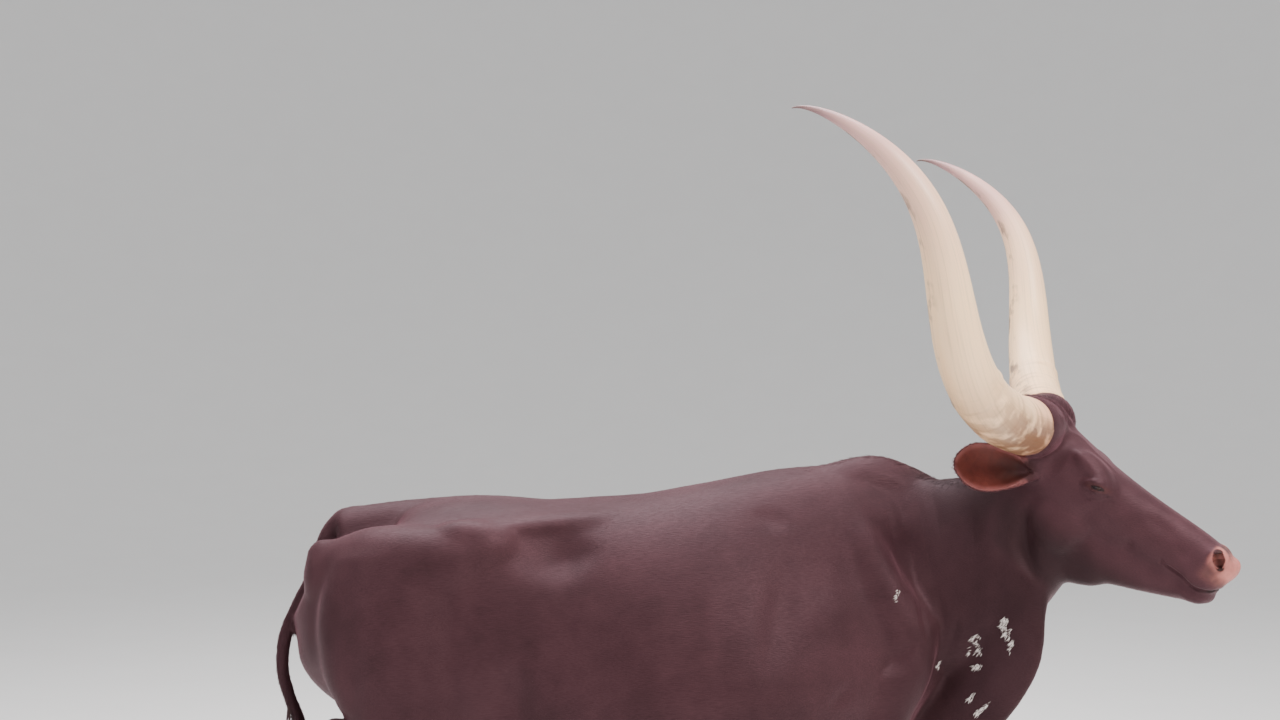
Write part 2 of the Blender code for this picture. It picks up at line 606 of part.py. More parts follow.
def parting():
    """The pieces to part from the skin, in turn: name, outline, low and high across, place."""
    head_back = ((-0.085, 0.030), (0.080, -0.372), (0.300, -0.372), (0.700, -0.100), (0.700, 0.200),
                 (-0.085, 0.200))
    neck_back = ((0.690, 0.520), (1.250, 0.520), (1.250, 1.500), (0.592, 1.500))
    foreleg_cut = ((0.340, -0.100), (0.800, -0.100), (0.800, 0.640), (0.640, 0.780), (0.410, 0.780),
                   (0.340, 0.640))
    hind_cut = ((-1.100, -0.100), (-0.360, -0.100), (-0.360, 0.680), (-0.480, 0.860), (-1.100, 0.900))
    udder_cut = ((-0.620, 0.400), (-0.290, 0.400), (-0.290, 0.628), (-0.620, 0.655))
    pieces = [("head", head_back, -0.30, 0.30, HEAD), ("neck", neck_back, -0.50, 0.40, Matrix()),
              ("udder", udder_cut, -0.100, 0.100, Matrix())]
    for name, side in SIDES:
        for part, outline, inner in (("leg_fore", foreleg_cut, 0.062), ("leg_hind", hind_cut, 0.050)):
            reach = (inner, 0.45) if side > 0 else (-0.45, -inner)
            pieces.append((f"{part}_{name}", outline, *reach, Matrix()))
    return pieces


def parted(skin):
    """The skin in named pieces that keep a small gap between them."""
    made = {}
    for name, outline, low, high, place in parting():
        piece = new_object(name, skin.data.copy())
        made[name] = combined(piece, [slab("keep", outline, low, high, place)], "INTERSECT")
        combined(skin, [slab("drop", outline, low, high, place, GAP)], "DIFFERENCE")
    skin.name = "torso"
    made["torso"] = skin
    return made


# Pieces of their own

def horn_line(samples=201):
    """The left horn's middle line, a curve drawn by its guide points, in even steps."""
    share = np.linspace(0, 1, samples)[:, None]
    order = len(HORN_PATH) - 1
    line = np.zeros((samples, 3))
    for i, point in enumerate(HORN_PATH):
        line += math.comb(order, i) * share ** i * (1 - share) ** (order - i) * np.array(point)
    run = np.concatenate([[0.0], np.cumsum(np.linalg.norm(np.diff(line, axis=0), axis=1))])
    even = np.linspace(0, run[-1], samples)
    return np.stack([np.interp(even, run, line[:, axis]) for axis in range(3)], -1)


def horn_radius(share):
    """The horn's radius at a share of its length, drawn in where it sits in the head."""
    root, widens = HORN_SEAT
    seat = root + (1 - root) * float(rise(share, 0.0, widens))
    return HORN_RADIUS * seat * (1 - share ** HORN_TAPER) + HORN_TIP_RADIUS


def horn(name, side, grow=0.0):
    line = horn_line()
    rows = []
    for ring in range(HORN_RINGS + 1):
        share = ring / HORN_RINGS
        share += HORN_CROWDING * math.sin(2 * math.pi * share) / (2 * math.pi)
        radius = horn_radius(share)
        at = line[round(share * (len(line) - 1))]
        rows.append(Section(mirrored(at, side), radius, radius, radius))
    return loft(f"horn_{name}", rows, (0.3, 0.1, 1.0), HEAD, HORN_SIDES, 1, grow, carried=True)


def ear_point(u, v, offset, grow=0.0):
    """A point of the left ear: u from root to tip, v from the upper rim to the lower, offset inwards."""
    axis = EAR_TIP - EAR_ROOT
    along = axis.normalized()
    across = (EAR_ACROSS - EAR_ACROSS.dot(along) * along).normalized()
    mouth = across.cross(along)
    half = EAR_HALF * (0.62 + 1.30 * u - 1.05 * u ** 2) * (1 - max(u, 0.0) ** 5) ** 0.6 + grow
    curl = 0.42 + 1.55 * (1 - u) ** 1.6
    radius = half / curl
    turn = curl * v
    lean = 0.018 * math.sin(math.pi * u)
    return (EAR_ROOT + axis * u - mouth * lean + across * ((radius - offset) * math.sin(turn))
            + mouth * (radius - (radius - offset) * math.cos(turn)))


def ear(name, side, grow=0.0):
    lengths, breadths = 9, 8
    shape = bmesh.new()
    sheets = []
    for face_side in (-1, 1):
        sheet = []
        for i in range(lengths + 1):
            start = -grow / (EAR_TIP - EAR_ROOT).length
            u = start if i == 0 else min(i / lengths, EAR_END)
            thick = EAR_THICK * (1 - 0.55 * u) / 2 + grow
            row = [ear_point(u, 2 * j / breadths - 1, face_side * thick, grow) for j in range(breadths + 1)]
            sheet.append([shape.verts.new(HEAD @ Vector(mirrored(at, side))) for at in row])
        sheets.append(sheet)
    for sheet in sheets:
        for i in range(lengths):
            for j in range(breadths):
                a, b, c, d = sheet[i][j], sheet[i][j + 1], sheet[i + 1][j + 1], sheet[i + 1][j]
                shape.faces.new((a, b, c))
                shape.faces.new((a, c, d))
    rim = ([(0, j) for j in range(breadths)] + [(i, breadths) for i in range(lengths)]
           + [(lengths, j) for j in range(breadths, 0, -1)] + [(i, 0) for i in range(lengths, 0, -1)])
    for (i, j), (k, m) in zip(rim, rim[1:] + rim[:1]):
        shape.faces.new((sheets[0][i][j], sheets[0][k][m], sheets[1][k][m]))
        shape.faces.new((sheets[0][i][j], sheets[1][k][m], sheets[1][i][j]))
    leaf = from_bmesh(f"ear_{name}", shape)
    along = (EAR_TIP - EAR_ROOT).normalized()
    behind = along.cross(EAR_ACROSS).normalized()
    path = (EAR_ROOT - 0.030 * along, EAR_ROOT + 0.010 * behind, EAR_ROOT + 0.036 * along + 0.014 * behind)
    plug = round_tube("ear_plug", [mirrored(at, side) for at in path], (0.024, 0.029, 0.018), sides=12,
                      spans=2, place=HEAD, grow=grow)
    return largest_only(combined(leaf, [plug], "UNION"))


def eyeball(name, side, grow=0.0):
    return ball(f"eye_{name}", mirrored(EYE_AT, side), [EYE_RADIUS + grow] * 3, place=HEAD, fine=2)


def lids(side):
    """Both lids of an eye: a bowl over the eyeball, with a slit."""
    out = Vector((0.10, 1.0, 0.06)).normalized()
    bowl = ball("lids", mirrored(EYE_AT, side), [EYE_RADIUS + LID_THICK] * 3, place=HEAD, fine=3)
    at = EYE_AT + out * (EYE_RADIUS + LID_THICK) - Vector((0.0, 0.0, 0.004))
    radii = (EYE_SLIT[0], 0.014, EYE_SLIT[1])
    slit = ball("slit", mirrored(at, side), radii, (0, -EYE_SLANT, 8 * side), HEAD)
    return combined(bowl, [slit], "DIFFERENCE")


def mouth_line(tree):
    """A fine groove round the lips, from one corner of the mouth to the other."""
    half = ((0.385, 0.060, -0.112), (0.420, 0.060, -0.117), (0.455, 0.060, -0.122), (0.487, 0.055, -0.121),
            (0.515, 0.040, -0.108), (0.532, 0.020, -0.092), (0.540, 0.000, -0.088))
    path = [Vector(at) for at in half] + [Vector(mirrored(at, -1)) for at in half[-2::-1]]
    placed = [tree.find_nearest(HEAD @ at)[0] for at in path]
    radii = [0.0028 + 0.0010 * math.sin(math.pi * i / (len(placed) - 1)) for i in range(len(placed))]
    return round_tube("mouth_line", placed, radii, sides=6, spans=2)


def nostril(tree, side):
    """The comma of a nostril, deep at its front."""
    path = ((0.524, 0.026, -0.036), (0.516, 0.036, -0.022), (0.500, 0.047, -0.020), (0.486, 0.054, -0.030),
            (0.480, 0.056, -0.044))
    placed = [tree.find_nearest(HEAD @ Vector(mirrored(at, side)))[0] for at in path]
    return round_tube("nostril", placed, (0.005, 0.009, 0.010, 0.006, 0.003), sides=8, spans=2)


def finished_head(head):
    mesh = bmesh.new()
    mesh.from_mesh(head.data)
    tree = BVHTree.FromBMesh(mesh)
    mesh.free()
    cuts = [mouth_line(tree), nostril(tree, 1), nostril(tree, -1)]
    combined(head, [lids(1), lids(-1)], "UNION")
    for cut in cuts:
        combined(head, [cut], "DIFFERENCE")
    combined(head, [eyeball("seat", 1, GAP), eyeball("seat", -1, GAP)], "DIFFERENCE")
    return head


def claw(name, foot, side):
    """One claw of a foot. foot is the middle of the foot on the floor, and side its place across."""
    heights = (0.0, 0.012, 0.040, 1.0)
    spread = (Matrix.Translation((0.0, side * (HOOF_WIDTH + CLAW_GAP) / 2, 0.0))
              @ Matrix.Rotation(math.radians(4.0 * side), 4, "Z"))
    rings = []
    for share, height in zip((0.0, 0.18, 0.60, 1.0), heights):
        toe = HOOF_LENGTH * (0.60 - 0.22 * share)
        heel = HOOF_LENGTH * (0.40 - 0.04 * share)
        half = HOOF_WIDTH * (0.50 - 0.03 * share) * (0.94 if share == 0.0 else 1.0)
        ring = []
        for i in range(HOOF_SIDES):
            turn = 2 * math.pi * i / HOOF_SIDES
            reach = toe if math.cos(turn) > 0 else heel
            x = reach * math.copysign(abs(math.cos(turn)) ** 0.85, math.cos(turn))
            y = half * math.sin(turn) * (1 - 0.22 * math.cos(turn))
            at = spread @ Vector((x, y, 0.0))
            top = HOOF_TOP + math.tan(HOOF_SLOPE) * at.x - 1.5 * GAP
            at.z = top if height == 1.0 else min(height, top - 0.004)
            ring.append(at)
        rings.append(ring)
    return tube(name, rings, Matrix.Translation((*foot, 0.0)))


def feet():
    """The middle of each foot on the floor, and the leg over it."""
    made = {}
    for name, side in SIDES:
        made[f"leg_fore_{name}"] = (0.535 + STEP_FORE[name], side * 0.131)
        made[f"leg_hind_{name}"] = (-0.678 + STEP_HIND[name], side * 0.145)
    return made


def shod(leg, foot):
    """Ends a leg on the sloping plane where its claws begin, with its two dewclaws behind."""
    slope = math.tan(HOOF_SLOPE)
    reach = 0.14
    below = ((foot[0] - reach, -0.100), (foot[0] + reach, -0.100),
             (foot[0] + reach, HOOF_TOP + slope * reach), (foot[0] - reach, HOOF_TOP - slope * reach))
    combined(leg, [slab("below", below, foot[1] - 0.1, foot[1] + 0.1)], "DIFFERENCE")
    dew = []
    for side in (1, -1):
        dew.append(ball("dewclaw", (foot[0] - 0.052, foot[1] + side * 0.020, 0.128), (0.012, 0.011, 0.018),
                        (0, 35, 0), fine=1))
    combined(leg, dew, "UNION")
    return leg


def tail(grow=0.0):
    return round_tube("tail", TAIL_PATH, TAIL_RADII, sides=TAIL_SIDES, spans=2, grow=grow)


def lock(name, root, way, bend, length, width):
    """A flat, tapered lock of hair that bends as it falls."""
    rings = []
    steps = 3
    for i in range(steps + 1):
        t = i / steps
        at = root + way * (length * t) + bend * (length * t * t)
        run = (way + bend * (2 * t)).normalized()
        out = Vector((root.x - TAIL_PATH[-1][0], root.y, 0.0)).normalized()
        across = run.cross(out + Vector((0, 0, 0.01))).normalized()
        thick = across.cross(run)
        half = width * (1 - t) ** 0.7 * (0.55 + 0.9 * t) + 0.0008
        rings.append([at + across * half, at + thick * half * 0.45,
                      at - across * half, at - thick * half * 0.45])
    return tube(name, rings)


def switch():
    """The long hair at the tail's end: locks round a thin core."""
    rng = random.Random(11)
    end = Vector(TAIL_PATH[-1])
    core_path = [end + Vector((0, 0, 0.01)), end + Vector((0.003, 0, -0.08)), end + Vector((0.006, 0, -0.17))]
    core = round_tube("tail_switch", core_path, (TAIL_RADII[-1], 0.012, 0.004), sides=TAIL_SIDES, spans=2)
    locks = []
    for i in range(SWITCH_LOCKS):
        turn = 2.399963 * i
        down = 0.012 + 0.120 * i / SWITCH_LOCKS
        out = Vector((math.cos(turn), math.sin(turn), 0.0))
        root = end + Vector((0.0, 0.0, -down)) + out * 0.0045
        way = (Vector((0, 0, -1)) + out * (0.16 + 0.06 * rng.random())).normalized()
        bend = -out * 0.07 + Vector((rng.uniform(-0.05, 0.05), rng.uniform(-0.05, 0.05), -0.05))
        length = (SWITCH_LENGTH - down) * rng.uniform(0.72, 1.0)
        locks.append(lock("lock", root, way, bend, length, rng.uniform(0.0100, 0.0140)))
    combined(core, locks, "UNION")
    return largest_only(combined(core, [tail(GAP)], "DIFFERENCE"))


def built():
    """Every node by name."""
    skin = fused_skin()
    strokes = []
    for _, side in SIDES:
        strokes += body_strokes(side) + head_strokes(side)
    stroked(skin, strokes)
    thinned(skin)
    combined(skin, [tail(GAP)], "DIFFERENCE")
    nodes = parted(skin)
    for name, side in SIDES:
        for part in ("head", "neck"):
            combined(nodes[part], [horn(name, side, GAP)], "DIFFERENCE")
            combined(nodes[part], [ear(name, side, GAP)], "DIFFERENCE")
    for name in ("leg_fore_left", "leg_fore_right", "leg_hind_left", "leg_hind_right"):
        shod(nodes[name], feet()[name])
        for side_name, side in SIDES:
            claw_name = f"{name}_claw_{side_name}"
            nodes[claw_name] = claw(claw_name, feet()[name], side)
    finished_head(nodes["head"])
    for name, side in SIDES:
        nodes[f"eye_{name}"] = eyeball(name, side)
        nodes[f"horn_{name}"] = horn(name, side)
        nodes[f"ear_{name}"] = combined(ear(name, side), [horn(name, side, GAP)], "DIFFERENCE")
    nodes["tail"] = tail()
    nodes["tail_switch"] = switch()
    return nodes


def finish_of(name):
    """The colour and roughness of a node."""
    finishes = (
        ("claw", (0.060, 0.045, 0.038), 0.45), ("horn", (0.700, 0.550, 0.380), 0.40),
        ("eye", (0.020, 0.012, 0.010), 0.08), ("ear", (0.120, 0.035, 0.022), 0.75),
        ("tail_switch", (0.030, 0.014, 0.012), 0.60), ("udder", (0.210, 0.110, 0.095), 0.60),
        ("head", (0.075, 0.028, 0.022), 0.55), ("neck", (0.060, 0.024, 0.020), 0.55),
        ("leg", (0.070, 0.028, 0.022), 0.55), ("tail", (0.080, 0.030, 0.025), 0.60),
        ("torso", (0.110, 0.046, 0.040), 0.50))
    return next(row for row in finishes if row[0] in name)


def main():
    clear_scene()
    nodes = built()
    stand = bpy.data.objects.new("under_the_middle", None)
    bpy.context.scene.collection.objects.link(stand)
    stand.location = -BOX_MIDDLE
    for name, node in nodes.items():
        largest_only(node)
        node.name = name
        node.parent = stand
        node.data.materials.clear()
        node.data.materials.append(material(name, *finish_of(name)[1:]))
        node.data.shade_smooth()
        node.data.set_sharp_from_angle(angle=SHARP_ANGLE)


main()
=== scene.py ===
"""The looks of a standing Ankole-Watusi cow with its head turned to its right.

Metres, +Z up, +X forward and +Y to the cow's left. The body is set out from the middle of the trunk, on
the floor, and the head from the poll, between the horns. Both are carried from there to the part's own
origin, which lies under the middle of the whole.
"""

import logging
import math
from dataclasses import dataclass
from enum import Enum
from typing import NamedTuple, Sequence

import bpy
import numpy as np
from mathutils import Euler, Matrix, Vector
from mathutils.bvhtree import BVHTree


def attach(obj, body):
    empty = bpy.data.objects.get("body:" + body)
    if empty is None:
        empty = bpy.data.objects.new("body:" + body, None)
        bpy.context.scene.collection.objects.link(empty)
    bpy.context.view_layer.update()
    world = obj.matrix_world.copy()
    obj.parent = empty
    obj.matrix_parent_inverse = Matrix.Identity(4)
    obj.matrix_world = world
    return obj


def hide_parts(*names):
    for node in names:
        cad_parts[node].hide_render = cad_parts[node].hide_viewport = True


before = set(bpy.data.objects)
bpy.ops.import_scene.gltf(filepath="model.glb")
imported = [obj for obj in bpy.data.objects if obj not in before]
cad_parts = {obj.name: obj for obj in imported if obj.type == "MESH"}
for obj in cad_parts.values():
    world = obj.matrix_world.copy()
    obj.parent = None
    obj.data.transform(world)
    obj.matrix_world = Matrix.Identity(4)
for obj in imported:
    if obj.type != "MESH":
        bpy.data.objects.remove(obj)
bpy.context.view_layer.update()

Array = np.ndarray
Thing = bpy.types.Object
Material = bpy.types.Material
Node = bpy.types.Node
Socket = bpy.types.NodeSocket
LOG = logging.getLogger("cow")

BOX_MIDDLE = Vector((0.178, -0.1, 0.0))
TRUNK = Matrix.Translation(-BOX_MIDDLE)
POLL = Vector((0.885, -0.224, 1.46))
HEAD_TURN = math.radians(25.0)
HEAD_DROP = math.radians(38.4)
HEAD_TILT = math.radians(1.1)
HEAD = (TRUNK @ Matrix.Translation(POLL) @ Matrix.Rotation(-HEAD_TURN, 4, "Z")
        @ Matrix.Rotation(HEAD_DROP, 4, "Y") @ Matrix.Rotation(HEAD_TILT, 4, "X"))

EYE_AT = np.array((0.187, 0.087, -0.061))
EYE_RADIUS = 0.02
LID_THICK = 0.0042
EYE_SLANT = 20.0

HORN_PATH = ((0.014, 0.02, -0.04), (-0.107, 0.76, -0.131), (-0.387, 0.365, 0.21),
             (-0.261, 0.693, 0.309), (-0.698, 0.595, 0.301), (-0.748, 0.616, 0.226))
HORN_RADIUS = 0.0645
HORN_TAPER = 2.1
# share of the horn's length, and the radius of the skin round it there
COLLAR = ((0.03, 0.062), (0.06, 0.0705), (0.096, 0.0715), (0.12, 0.0615))

EAR_ROOT = np.array((0.052, 0.088, -0.138))
EAR_TIP = np.array((-0.072, 0.262, -0.2))
EAR_ACROSS = np.array((0.8, -0.19, -0.57))
EAR_HALF = 0.06
# the middle of the painted shade at the root of the ear
EAR_PIT_SHADE = EAR_ROOT + (-0.004, 0.026, 0.002)

HOOF_LENGTH = 0.112
HOOF_WIDTH = 0.05
HOOF_TOP = 0.068
HOOF_SLOPE = math.radians(20.0)
CLAW_GAP = 0.006

TAIL_PATH = ((-0.69, 0.0, 1.212), (-0.742, 0.0, 1.203), (-0.778, 0.0, 1.17), (-0.798, 0.0, 1.12),
             (-0.818, 0.0, 1.065), (-0.852, 0.0, 1.0), (-0.882, 0.0, 0.93), (-0.89, 0.0, 0.858),
             (-0.876, 0.0, 0.792), (-0.85, 0.0, 0.725), (-0.832, 0.0, 0.65), (-0.824, 0.0, 0.58))
TAIL_RADII = (0.024, 0.027, 0.0255, 0.0225, 0.0195, 0.018, 0.017, 0.016, 0.0155, 0.015, 0.014, 0.013)

# the way up of a tube's first ring, which no path follows
TUBE_UP = (0.13, 0.21, 1.0)


class Side(Enum):
    """The two sides of the cow, as the way each lies across."""

    LEFT = 1
    RIGHT = -1

    @property
    def word(self) -> str:
        """The side's name in small letters."""
        return self.name.lower()


STEP_FORE = {Side.LEFT: -0.035, Side.RIGHT: 0.04}
STEP_HIND = {Side.LEFT: 0.075, Side.RIGHT: -0.035}


class Section(NamedTuple):
    """One ring of a loft: its middle, and how far it reaches from there."""

    middle: tuple
    above: float
    below: float
    side: float
    egg: float = 0.0
    square: float = 2.0


@dataclass
class Shape:
    """The points and triangles of closed bodies."""

    points: Array
    triangles: Array

    @staticmethod
    def joined(shapes: Sequence["Shape"]) -> "Shape":
        """Several shapes as one.

        Args:
            shapes: The shapes to put together.

        Returns:
            One shape that holds them all, none of them fused.
        """
        starts = np.cumsum([0] + [len(shape.points) for shape in shapes])
        triangles = [shape.triangles + start for shape, start in zip(shapes, starts)]
        return Shape(np.vstack([shape.points for shape in shapes]), np.vstack(triangles))

    def placed(self, place: Matrix) -> "Shape":
        """The shape carried by a matrix."""
        return Shape(carried(self.points, place), self.triangles)

    def as_object(self, name: str) -> Thing:
        """Makes a mesh object of the shape.

        Args:
            name: The object's name.

        Returns:
            The new object, linked to the scene.
        """
        mesh = bpy.data.meshes.new(name)
        count = len(self.triangles)
        mesh.vertices.add(len(self.points))
        mesh.vertices.foreach_set("co", self.points.astype(np.float32).ravel())
        mesh.loops.add(3 * count)
        mesh.loops.foreach_set("vertex_index", self.triangles.astype(np.int32).ravel())
        mesh.polygons.add(count)
        mesh.polygons.foreach_set("loop_start", np.arange(0, 3 * count, 3, dtype=np.int32))
        mesh.update(calc_edges=True)
        made = bpy.data.objects.new(name, mesh)
        bpy.context.scene.collection.objects.link(made)
        return made


def carried(points: Array, place: Matrix) -> Array:
    """Points carried by a matrix.

    Args:
        points: Rows of three numbers.
        place: The matrix.

    Returns:
        The rows in their new place.
    """
    turn = np.array(place.to_3x3())
    return np.asarray(points, float) @ turn.T + np.array(place.translation)


def across(points: Array, side: Side) -> Array:
    """Points given for the left side, or those across from them.

    Args:
        points: Rows of three numbers, the second to the left.
        side: The side wanted.

    Returns:
        The rows for that side.
    """
    return np.asarray(points, float) * (1.0, side.value, 1.0)


def step(values: Array, low: float, high: float) -> Array:
    """A smooth rise from nought at low to one at high.

    Args:
        values: What is looked at.
        low: Where the rise starts.
        high: Where it ends. It may be the smaller one.

    Returns:
        Shares from nought to one.
    """
    share = np.clip((np.asarray(values, float) - low) / (high - low), 0.0, 1.0)
    return share * share * (3.0 - 2.0 * share)


def unit(rows: Array) -> Array:
    """Rows of numbers brought to a length of one."""
    return rows / np.maximum(np.linalg.norm(rows, axis=-1, keepdims=True), 1e-9)


def path_distance(points: Array, path: Array) -> tuple[Array, Array]:
    """How far points are from a path of straight lines.

    Args:
        points: Rows of three numbers.
        path: The path's points.

    Returns:
        The distances, and how far along the path the nearest place is, from nought to one.
    """
    lengths = np.linalg.norm(np.diff(path, axis=0), axis=1)
    run = np.concatenate([[0.0], np.cumsum(lengths)])
    far = np.full(len(points), np.inf)
    along = np.zeros(len(points))
    for start, end, before, length in zip(path, path[1:], run, lengths):
        way = (end - start) / length
        share = np.clip((points - start) @ way, 0.0, length)
        distance = np.linalg.norm(points - start - share[:, None] * way, axis=1)
        nearer = distance < far
        far[nearer] = distance[nearer]
        along[nearer] = (before + share[nearer]) / run[-1]
    return far, along


def through(rows: Sequence, spans: int) -> Array:
    """Rows of numbers joined by a smooth curve.

    Args:
        rows: The rows that the curve goes through.
        spans: How many steps it has between two rows.

    Returns:
        The rows of the curve.
    """
    rows = np.array(rows, float)
    ends = np.vstack([2 * rows[0] - rows[1], rows, 2 * rows[-1] - rows[-2]])
    made = []
    for before, start, end, after in zip(ends, ends[1:], ends[2:], ends[3:]):
        for t in np.arange(spans) / spans:
            made.append(0.5 * (2 * start + (end - before) * t
                               + (2 * before - 5 * start + 4 * end - after) * t ** 2
                               + (3 * start - before - 3 * end + after) * t ** 3))
    made.append(rows[-1])
    return np.array(made)


def tube(rings: Array, flat: bool = False) -> Shape:
    """A closed body through rings of points.

    Args:
        rings: Rings by sides by three numbers.
        flat: Whether each ring goes out along a sheet and back, so that a strip closes the ends, not a fan.

    Returns:
        The body.
    """
    count, sides = rings.shape[:2]
    starts = (np.arange(count - 1) * sides)[:, None]
    here = np.arange(sides)[None, :]
    after = (here + 1) % sides
    a, b = starts + here, starts + after
    c, d = b + sides, a + sides
    walls = np.concatenate([np.stack([a, b, c], -1).reshape(-1, 3), np.stack([a, c, d], -1).reshape(-1, 3)])
    first, last = count * sides, count * sides + 1
    ring = np.arange(sides)
    top = (count - 1) * sides + ring
    if flat:
        out = np.arange(sides // 2 - 1)
        back = sides - 1 - out
        strip = np.vstack([np.stack([out + 1, out, back], -1), np.stack([out + 1, back, back - 1], -1)])
        caps = np.vstack([strip, (count - 1) * sides + strip[:, ::-1]])
        return Shape(rings.reshape(-1, 3), np.vstack([walls, caps]))
    low_cap = np.stack([np.roll(ring, -1), ring, np.full(sides, first)], -1)
    top_cap = np.stack([top, np.roll(top, -1), np.full(sides, last)], -1)
    points = np.vstack([rings.reshape(-1, 3), rings[0].mean(axis=0), rings[-1].mean(axis=0)])
    return Shape(points, np.vstack([walls, low_cap, top_cap]))


def loft(sections: Sequence[Section], up: Sequence[float] = (0, 0, 1), sides: int = 40, spans: int = 8,
         keep_frame: bool = False, dome: float = 0.0) -> Shape:
    """A closed body through sections, each ring across the line of the middles.

    Args:
        sections: The rings that the surface goes through.
        up: The way that a section's reach above points.
        sides: Points in a ring.
        spans: Rings between two sections.
        keep_frame: Whether a ring is set by the ring before it, which a bent tube needs.
        dome: How deep a dome closes each end, for its width.

    Returns:
        The body.
    """
    rows = through([[*s.middle, s.above, s.below, s.side, s.egg, s.square] for s in sections], spans)
    ways = unit(np.gradient(rows[:, :3], axis=0))
    turns = np.arange(sides) * (2 * math.pi / sides)
    cosine, sine = np.cos(turns), np.sin(turns)
    up = np.array(up, float)
    rings = []
    for row, way in zip(rows, ways):
        rise = unit(up - (up @ way) * way)
        up = rise if keep_frame else up
        above, below, side, egg, square = row[3:]
        c = np.sign(cosine) * np.abs(cosine) ** (2 / square)
        s = np.sign(sine) * np.abs(sine) ** (2 / square)
        reach = np.where(s > 0, above, below)
        beside = np.outer(side * c * (1 - egg * s), np.cross(rise, way))
        rings.append(row[:3] + beside + np.outer(reach * s, rise))
    if dome:
        for end, sign in ((0, -1), (-1, 1)):
            ring = rings[end]
            middle = ring.mean(axis=0)
            width = np.linalg.norm(ring - middle, axis=1).mean()
            caps = [middle + (ring - middle) * math.cos(a) + sign * ways[end] * dome * width * math.sin(a)
                    for a in (0.3, 0.6, 0.9, 1.2, 1.4)]
            rings = caps[::-1] + rings if end == 0 else rings + caps
    return tube(np.array(rings))


def round_tube(path: Sequence, radii: Sequence[float], sides: int = 16, spans: int = 8) -> Shape:
    """A round tube down a smooth path, its radius given at each point.

    Args:
        path: The points of the path.
        radii: The radius at each.
        sides: Points in a ring.
        spans: Rings between two points.

    Returns:
        The tube.
    """
    rows = [Section(tuple(at), radius, radius, radius) for at, radius in zip(path, radii)]
    return loft(rows, TUBE_UP, sides, spans, keep_frame=True)


def ball(middle: Sequence[float], radii: Sequence[float], turn: Sequence[float] = (0, 0, 0)) -> Shape:
    """An ellipsoid.

    Args:
        middle: Its middle.
        radii: Its three radii.
        turn: Degrees about X, Y and Z.

    Returns:
        The ellipsoid.
    """
    heights = np.linspace(0.02, math.pi - 0.02, 22)
    turns = np.arange(30) * (2 * math.pi / 30)
    rings = np.stack([np.outer(np.sin(heights), np.cos(turns)), np.outer(np.sin(heights), np.sin(turns)),
                      np.outer(-np.cos(heights), np.ones(30))], -1)
    shape = tube(rings)
    spin = Euler([math.radians(angle) for angle in turn]).to_matrix().to_4x4()
    return shape.placed(Matrix.Translation(Vector(middle)) @ spin @ Matrix.Diagonal((*radii, 1.0)))


def only(thing: Thing) -> None:
    """Selects one object alone and makes it the active one.

    Args:
        thing: The object.
    """
    bpy.ops.object.select_all(action="DESELECT")
    thing.select_set(True)
    bpy.context.view_layer.objects.active = thing


def apply_all(thing: Thing) -> None:
    """Applies every modifier of an object in turn.

    Args:
        thing: The object.
    """
    only(thing)
    for modifier in list(thing.modifiers):
        bpy.ops.object.modifier_apply(modifier=modifier.name)


def removed(thing: Thing) -> None:
    """Removes an object and its mesh.

    Args:
        thing: The object.
    """
    mesh = thing.data
    bpy.data.objects.remove(thing)
    bpy.data.meshes.remove(mesh)


def dressed(thing: Thing, material: Material) -> Thing:
    """Gives an object one material alone.

    Args:
        thing: The object.
        material: What it is dressed in.

    Returns:
        The same object.
    """
    thing.data.materials.clear()
    thing.data.materials.append(material)
    return thing


def boolean(thing: Thing, tool: Shape, operation: str) -> None:
    """Joins a closed shape to an object, or cuts it by the shape.

    Args:
        thing: The object that changes.
        tool: The shape.
        operation: UNION, DIFFERENCE or INTERSECT.
    """
    other = tool.as_object("tool")
    joint = thing.modifiers.new("joint", "BOOLEAN")
    joint.operation = operation
    joint.object = other
    joint.solver = "MANIFOLD"
    apply_all(thing)
    removed(other)


def read(items: bpy.types.bpy_prop_collection, key: str, width: int = 1, kind: type = np.int32) -> Array:
    """What the items of a mesh hold under a key.

    Args:
        items: The items, such as the mesh's loops.
        key: What is read from each.
        width: How many numbers each gives.
        kind: The type of the numbers.

    Returns:
        A number for each item, or a row where it gives several.
    """
    rows = np.empty(len(items) * width, kind)
    items.foreach_get(key, rows)
    return rows.reshape(-1, width) if width > 1 else rows


def points_of(thing: Thing) -> Array:
    """The places of an object's vertices, as rows of three numbers."""
    return read(thing.data.vertices, "co", 3, np.float32).astype(float)


def normals_of(thing: Thing) -> Array:
    """The ways in which an object's vertices face, as rows of three numbers."""
    return read(thing.data.vertices, "normal", 3, np.float32).astype(float)


def rows_at(rows: Array, index: Array) -> Array:
    """Rows of numbers read at places between them, straight from one to the next."""
    return np.stack([np.interp(index, np.arange(len(rows)), rows[:, i]) for i in range(rows.shape[1])], -1)


def set_points(thing: Thing, points: Array) -> None:
    """Moves an object's vertices to these places."""
    thing.data.vertices.foreach_set("co", points.astype(np.float32).ravel())
    thing.data.update()


def set_attribute(thing: Thing, name: str, values: Array) -> None:
    """Stores one number, or one colour, for each vertex of an object.

    Args:
        thing: The object.
        name: The attribute's name.
        values: One row for each vertex.
    """
    kind, key = ("FLOAT", "value") if values.ndim == 1 else ("FLOAT_COLOR", "color")
    attribute = thing.data.attributes.get(name) or thing.data.attributes.new(name, kind, "POINT")
    attribute.data.foreach_set(key, values.astype(np.float32).ravel())


